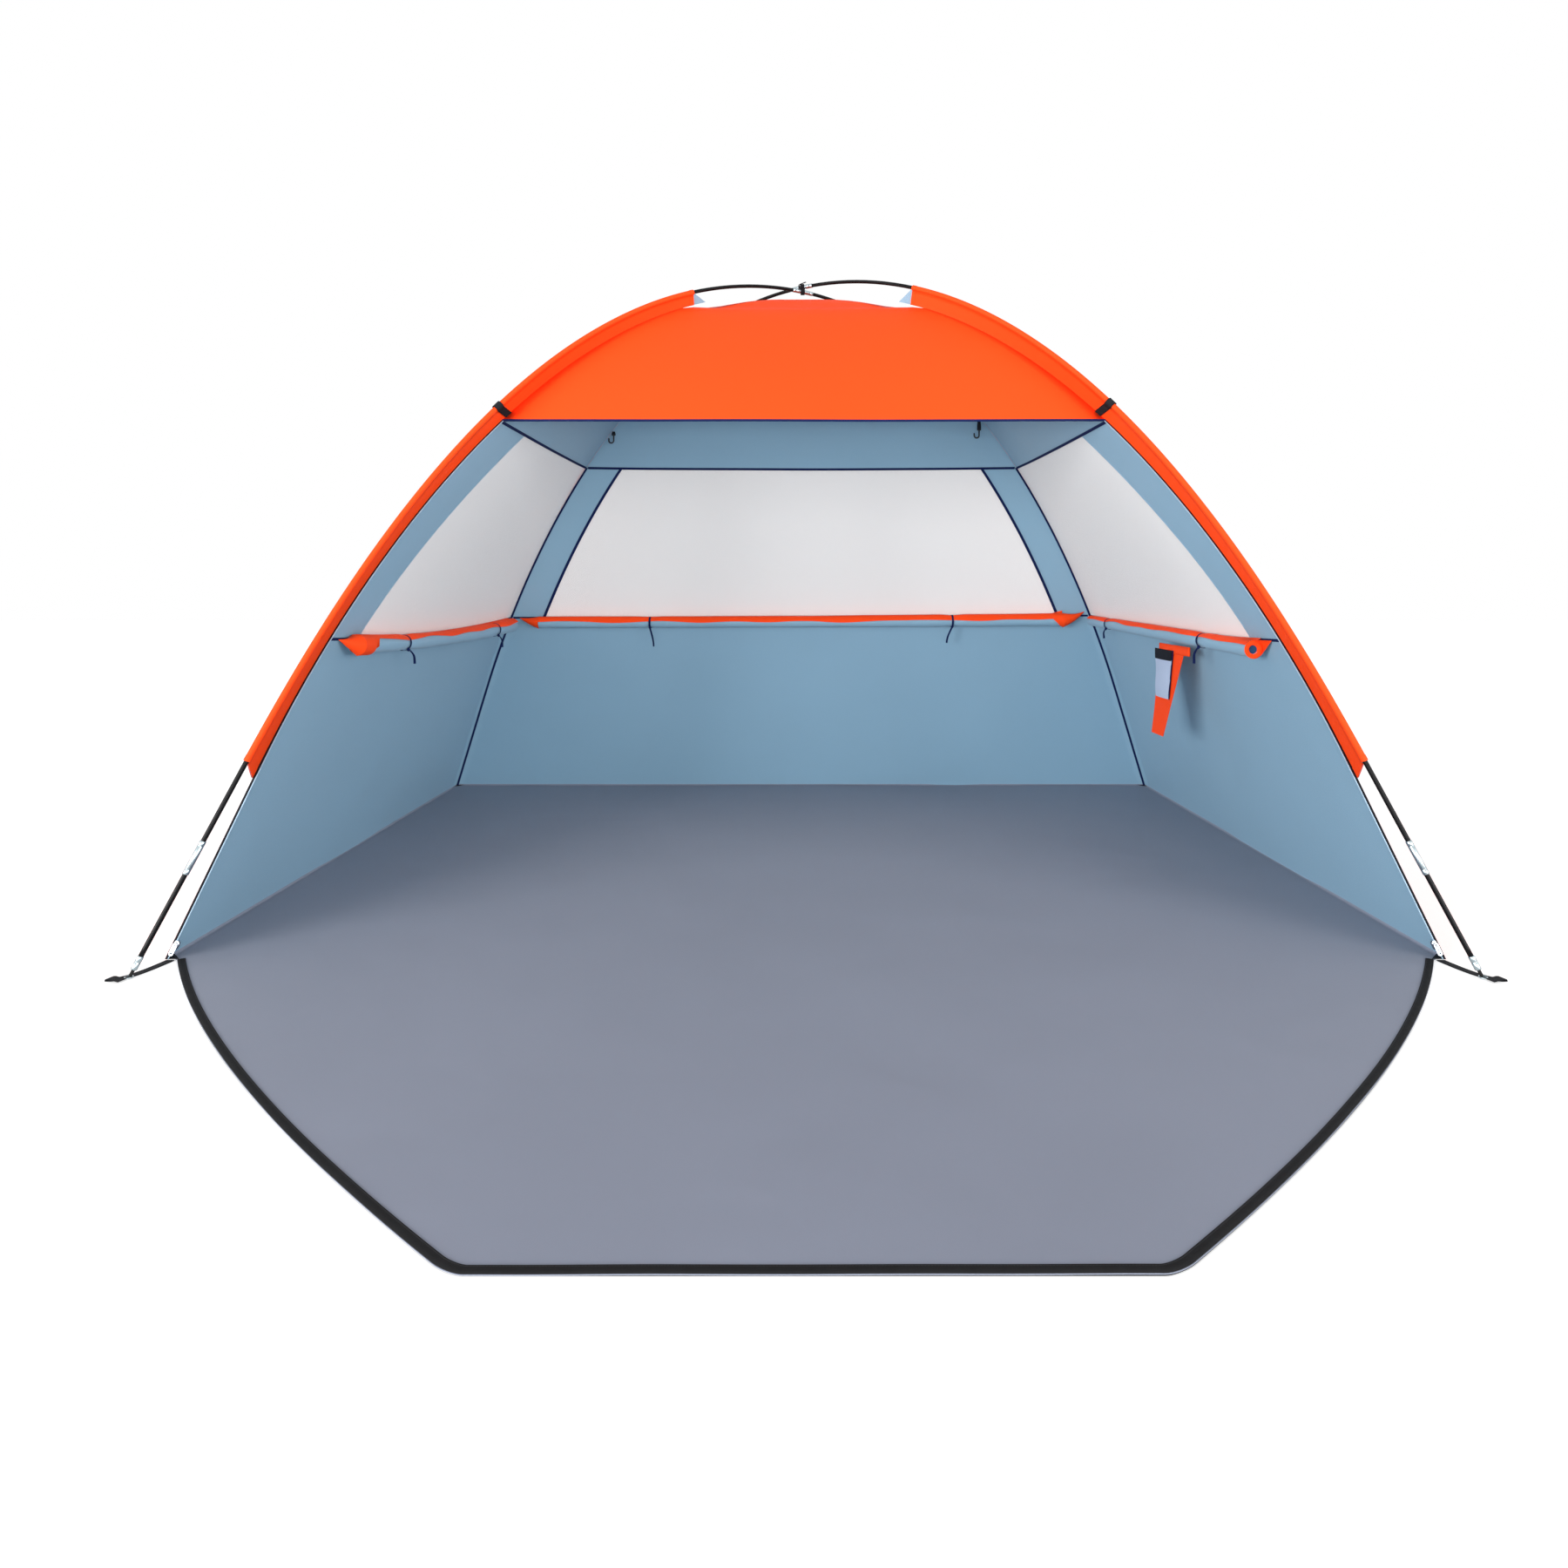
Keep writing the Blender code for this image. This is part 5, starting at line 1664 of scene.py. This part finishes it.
def label_piece(name, first, last, material, forward):
    def hang(row, column):
        drop = between(first, last, row)
        across = label_width(drop) * column
        bow = math.sin(math.radians(180) * column) * label_bow + math.sin(drop * 70) * label_wave
        return strap_spot(label_rear - across, drop, forward + bow), (across, drop)

    piece = make_piece(name, cut_cloth(12, 10, hang), "hanging_strap", [material])
    thicken(piece, label_cloth, side=0)
    return piece


# Painted shadow: a dark strip that peeks out past the label's edge towards the opening, where the label
# shades the strap.
def lay_label_shadow_strip(row, column):
    drop = between(label_start, label_end, row)
    along = label_rear - label_width(drop) - label_shadow_strip_width * (column - 0.3)
    return strap_spot(along, drop, label_shadow_strip_forward), (label_shadow_strip_width * (column - 0.5), drop)


label_piece("label_band", label_start, label_band_end, label_band, label_band_forward)
label = label_piece("blank_label", label_film_start, label_end, label_film, label_forward)
label_edge = make_piece(
    "label_edge", cut_cloth(12, 2, lay_label_shadow_strip), "hanging_strap", [navy_tape])
thicken(label_edge, label_shadow_strip_cloth, side=0)


# Lantern hooks: black nylon hooks on short webbing tabs, sewn near the ceiling's rear seams.
# Each swings under its tab's sewn end.
hook_wire_radius = 0.0022
hook_bend_radius = 0.0070
hook_shank_length = 0.016
hook_lip_length = 0.007
hook_bar_radius = 0.0019
hook_bar_end_radius = 0.0014
hook_bar_half = 0.0056
hook_bar_rounding = 0.0006
hook_tab_half = 0.0055
hook_tab_top_half = 0.0035
hook_tab_thickness = 0.0015
hook_plastic = metal_finish("hook_nylon", colour=(0.012, 0.012, 0.014), roughness=0.42,
                            scratch_scale=180, metallic=0.0)
tab_webbing = webbing_finish("hook_tab", colour=(0.012, 0.012, 0.016), rib=0.0009)
hook_tops = {"left": Vector((-0.5424, 0.348, 1.1027)), "right": Vector((0.5085, 0.32625, 1.13795))}
hook_tab_lengths = {"left": 0.010, "right": 0.034}
for word, hook_top in hook_tops.items():
    tab_length = hook_tab_lengths[word]

    def sew_tab(row, column, hook_top=hook_top, tab_length=tab_length):
        width = between(hook_tab_top_half, hook_tab_half, min(1, row * 1.6))
        across = (column - 0.5) * 2 * width
        return hook_top + Vector((across, 0, -tab_length * row)), (across, tab_length * row)

    tab = make_piece(
        word + "_hook_tab", cut_cloth(10, 4, sew_tab), "ceiling_hook_" + word, [tab_webbing])
    thicken(tab, hook_tab_thickness, side=0)
    foot = hook_top - upwards * tab_length
    bar_shoulder = hook_bar_half - hook_bar_rounding
    crossbar = [foot + Vector((x, 0, 0))
                for x in (-hook_bar_half, -bar_shoulder, 0, bar_shoulder, hook_bar_half)]
    bar_radii = [hook_bar_end_radius] + [hook_bar_radius] * 3 + [hook_bar_end_radius]
    bar = tube(crossbar, lambda index, radii=bar_radii: radii[index], 10)
    hook_points = [foot - upwards * hook_shank_length * share for share in (0, 0.5, 1)]
    bend_centre = hook_points[-1] - Vector((hook_bend_radius, 0, 0))
    for step in range(1, 13):
        angle = math.radians(180) * step / 12
        turn = Vector((math.cos(angle), 0, -math.sin(angle)))
        hook_points.append(bend_centre + turn * hook_bend_radius)
    lip = hook_points[-1]
    hook_points += [lip + upwards * hook_lip_length * share for share in (0.4, 0.8, 0.97, 1)]
    wire_radii = [hook_wire_radius] * (len(hook_points) - 2)
    wire_radii += [hook_wire_radius * 0.85, hook_wire_radius * 0.55]
    wire = tube(hook_points, lambda index, radii=wire_radii: radii[index], 12, Vector((0, 1, 0)))
    whole_hook = bmesh.new()
    add_bmesh(whole_hook, bar)
    add_bmesh(whole_hook, wire)
    hook = make_piece(
        word + "_lantern_hook", whole_hook, "ceiling_hook_" + word, [hook_plastic])
    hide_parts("ceiling_hook_" + word)


# Corner straps: black webbing from each corner of the groundsheet out to the pole's foot,
# with a steel eyelet for the pin and a peg loop at the end, and a patch sewn on the corner itself.
corner_strap_width = 0.014
corner_strap_inset = 0.011
corner_strap_turn = 0.015
peg_loop_reach = 0.030
peg_loop_setback = 0.006
peg_loop_thickness = 0.0012
webbing_thickness = 0.0016
eyelet_radius = 0.0062
eyelet_wire = 0.0010
eyelet_height = 0.0024
patch_size = 0.024
patch_thickness = 0.0008
patch_side_inset = 0.001
patch_end_inset = 0.0015
patch_rise = 0.0010
strap_steps = 28
# How far short of the tip each row of the peg loop is, and how high.
peg_loop_rows = [(0.030, 0.0028), (0.018, 0.0036), (0.008, 0.0044), (0.0025, 0.0036), (0.0008, 0.0022)]
strap_edge = (0.007, 0.008, 0.010)
strap_edge_width = 0.0012
strap_webbing = webbing_finish("corner_webbing", colour=(0.016, 0.017, 0.020), rib=0.0013,
                               edge=(strap_edge_width, corner_strap_width / 2, strap_edge))
strap_from = Vector((base_half_width - corner_strap_inset, base_half_depth + 0.0003))
strap_turn = Vector((foot_half_width, foot_half_depth + corner_strap_turn))
strap_tip = Vector((foot_half_width + peg_loop_reach, foot_half_depth + peg_loop_setback))
strap_path = []
for step in range(strap_steps + 1):
    share = step / strap_steps
    first_leg = strap_from.lerp(strap_turn, share)
    second_leg = strap_turn.lerp(strap_tip, share)
    strap_path.append(first_leg.lerp(second_leg, share))

for (side, end), tag in corner_words.items():
    def lay_webbing(row, column, side=side, end=end):
        index = round(row * strap_steps)
        ahead = strap_path[min(index + 1, strap_steps)] - strap_path[max(index - 1, 0)]
        ahead = Vector((0, 1)) if index == 0 else ahead.normalized()
        across = corner_strap_width * (column - 0.5)
        spot = strap_path[index] + Vector((ahead.y, -ahead.x)) * across
        height = webbing_thickness / 2 + 0.0001
        return (side * spot.x, end * spot.y, height), (across, row * 0.13)

    def sew_patch(row, column, side=side, end=end):
        reach = patch_size * (1 - row)
        x = side * (base_half_width - patch_side_inset - patch_size * row)
        y = end * (base_half_depth - patch_end_inset - reach * column)
        return (x, y, floor_height(x, y) + patch_rise), (column * reach, patch_size * row)

    webbing = cut_cloth(strap_steps, 6, lay_webbing)
    webbing_piece = make_piece("corner_webbing_" + tag, webbing, "tent", [strap_webbing])
    thicken(webbing_piece, webbing_thickness, side=0)
    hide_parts("corner_strap_" + tag)
    foot_bow = pole_bows[(side, end)]
    foot_spot = foot_bow.spot((side, end), foot_bow.length) + upwards * eyelet_height
    ring_points = []
    for step in range(25):
        angle = math.radians(360) * step / 24
        ring_points.append(foot_spot + Vector((math.cos(angle), math.sin(angle), 0)) * eyelet_radius)
    eyelet = tube(ring_points, lambda index: eyelet_wire, 8)
    make_piece("eyelet_" + tag, eyelet, "tent", [ferrule_steel])
    tip_spot = Vector((side * strap_tip.x, end * strap_tip.y, 0))
    tip_way = (tip_spot - Vector((side * strap_turn.x, end * strap_turn.y, 0))).normalized()
    tip_side = Vector((-tip_way.y, tip_way.x, 0))
    loop_spots = []
    for short, height in peg_loop_rows:
        middle = tip_spot - tip_way * short + upwards * height
        loop_spots.append([middle + tip_side * corner_strap_width * share for share in (-0.5, 0, 0.5)])
    lay_strip("peg_loop_" + tag, loop_spots, strap_webbing, thickness=peg_loop_thickness)
    patch_cloth = cut_cloth(10, 8, sew_patch)
    join_edges(patch_cloth)
    patch = make_piece("corner_patch_" + tag, patch_cloth, "tent", [strap_webbing])
    thicken(patch, patch_thickness, side=0)


# Shock cords: braided elastic inside the hollow poles. They keep their solids from the model.
elastic = webbing_finish("elastic_cord", colour=(0.42, 0.42, 0.43), rib=0.0016, roughness=0.85)
for node in list(bpy.data.objects):
    if "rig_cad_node" in node and not node.hide_render and node.type == "MESH":
        node.data.materials.clear()
        node.data.materials.append(elastic)


# Studio: a pale floor without an edge, a white surround, and broad soft lamps in front. The
# floor takes the tent's shadow, and the camera sees the rest of it as white.
ground_mesh = bmesh.new()
bmesh.ops.create_grid(ground_mesh, x_segments=1, y_segments=1, size=14)
ground_data = bpy.data.meshes.new("studio_floor")
ground_mesh.to_mesh(ground_data)
ground_mesh.free()
ground = bpy.data.objects.new("studio_floor", ground_data)
bpy.context.scene.collection.objects.link(ground)
ground_finish = Finish("studio_floor")
seen_by_camera = ground_finish.add("LightPath", "Is Camera Ray", {})
away_from_tent = ground_finish.add("VectorMath", "Value", {0: ground_finish.in_tent}, operation="LENGTH")
glow = ground_finish.spread(away_from_tent, 0.38, 0.50, **{"From Min": 1.6, "From Max": 3.2})
seen_glow = ground_finish.combine("MULTIPLY", seen_by_camera, glow)
ground_finish.surface({"Base Color": (0.80, 0.80, 0.80, 1), "Roughness": 0.9, "Specular IOR Level": 0.1,
                       "Emission Color": (1, 1, 1, 1), "Emission Strength": seen_glow})
ground_data.materials.append(ground_finish.material)

world = bpy.data.worlds.new("studio")
world.use_nodes = True
bpy.context.scene.world = world
world_nodes = world.node_tree.nodes
world_links = world.node_tree.links
background = world_nodes["Background"]
path = world_nodes.new("ShaderNodeLightPath")
seen = world_nodes.new("ShaderNodeMath")
seen.operation = "MAXIMUM"
world_links.new(path.outputs["Is Camera Ray"], seen.inputs[0])
world_links.new(path.outputs["Is Glossy Ray"], seen.inputs[1])
level = world_nodes.new("ShaderNodeMapRange")
level.inputs["To Min"].default_value = 0.70
level.inputs["To Max"].default_value = 1.0
world_links.new(seen.outputs[0], level.inputs["Value"])
world_links.new(level.outputs["Result"], background.inputs["Strength"])
background.inputs["Color"].default_value = (1, 1, 1, 1)


def add_lamp(name, place, aim, size, power):
    lamp_data = bpy.data.lights.new(name, "AREA")
    lamp_data.shape = "RECTANGLE"
    lamp_data.size, lamp_data.size_y = size
    lamp_data.energy = power
    lamp = bpy.data.objects.new(name, lamp_data)
    lamp.location = place
    lamp.rotation_euler = (Vector(aim) - Vector(place)).to_track_quat("-Z", "Y").to_euler()
    bpy.context.scene.collection.objects.link(lamp)


add_lamp("left_front_lamp", (-4.2, -4.3, 1.0), (0, 0, 0.6), (3.0, 1.7), 305)
add_lamp("right_front_lamp", (4.2, -4.3, 1.0), (0, 0, 0.6), (3.0, 1.7), 200)
add_lamp("low_lamp", (0, -4.6, 0.3), (0, 0.3, 1.1), (5.0, 0.45), 72)

bpy.context.scene.view_settings.view_transform = "Standard"
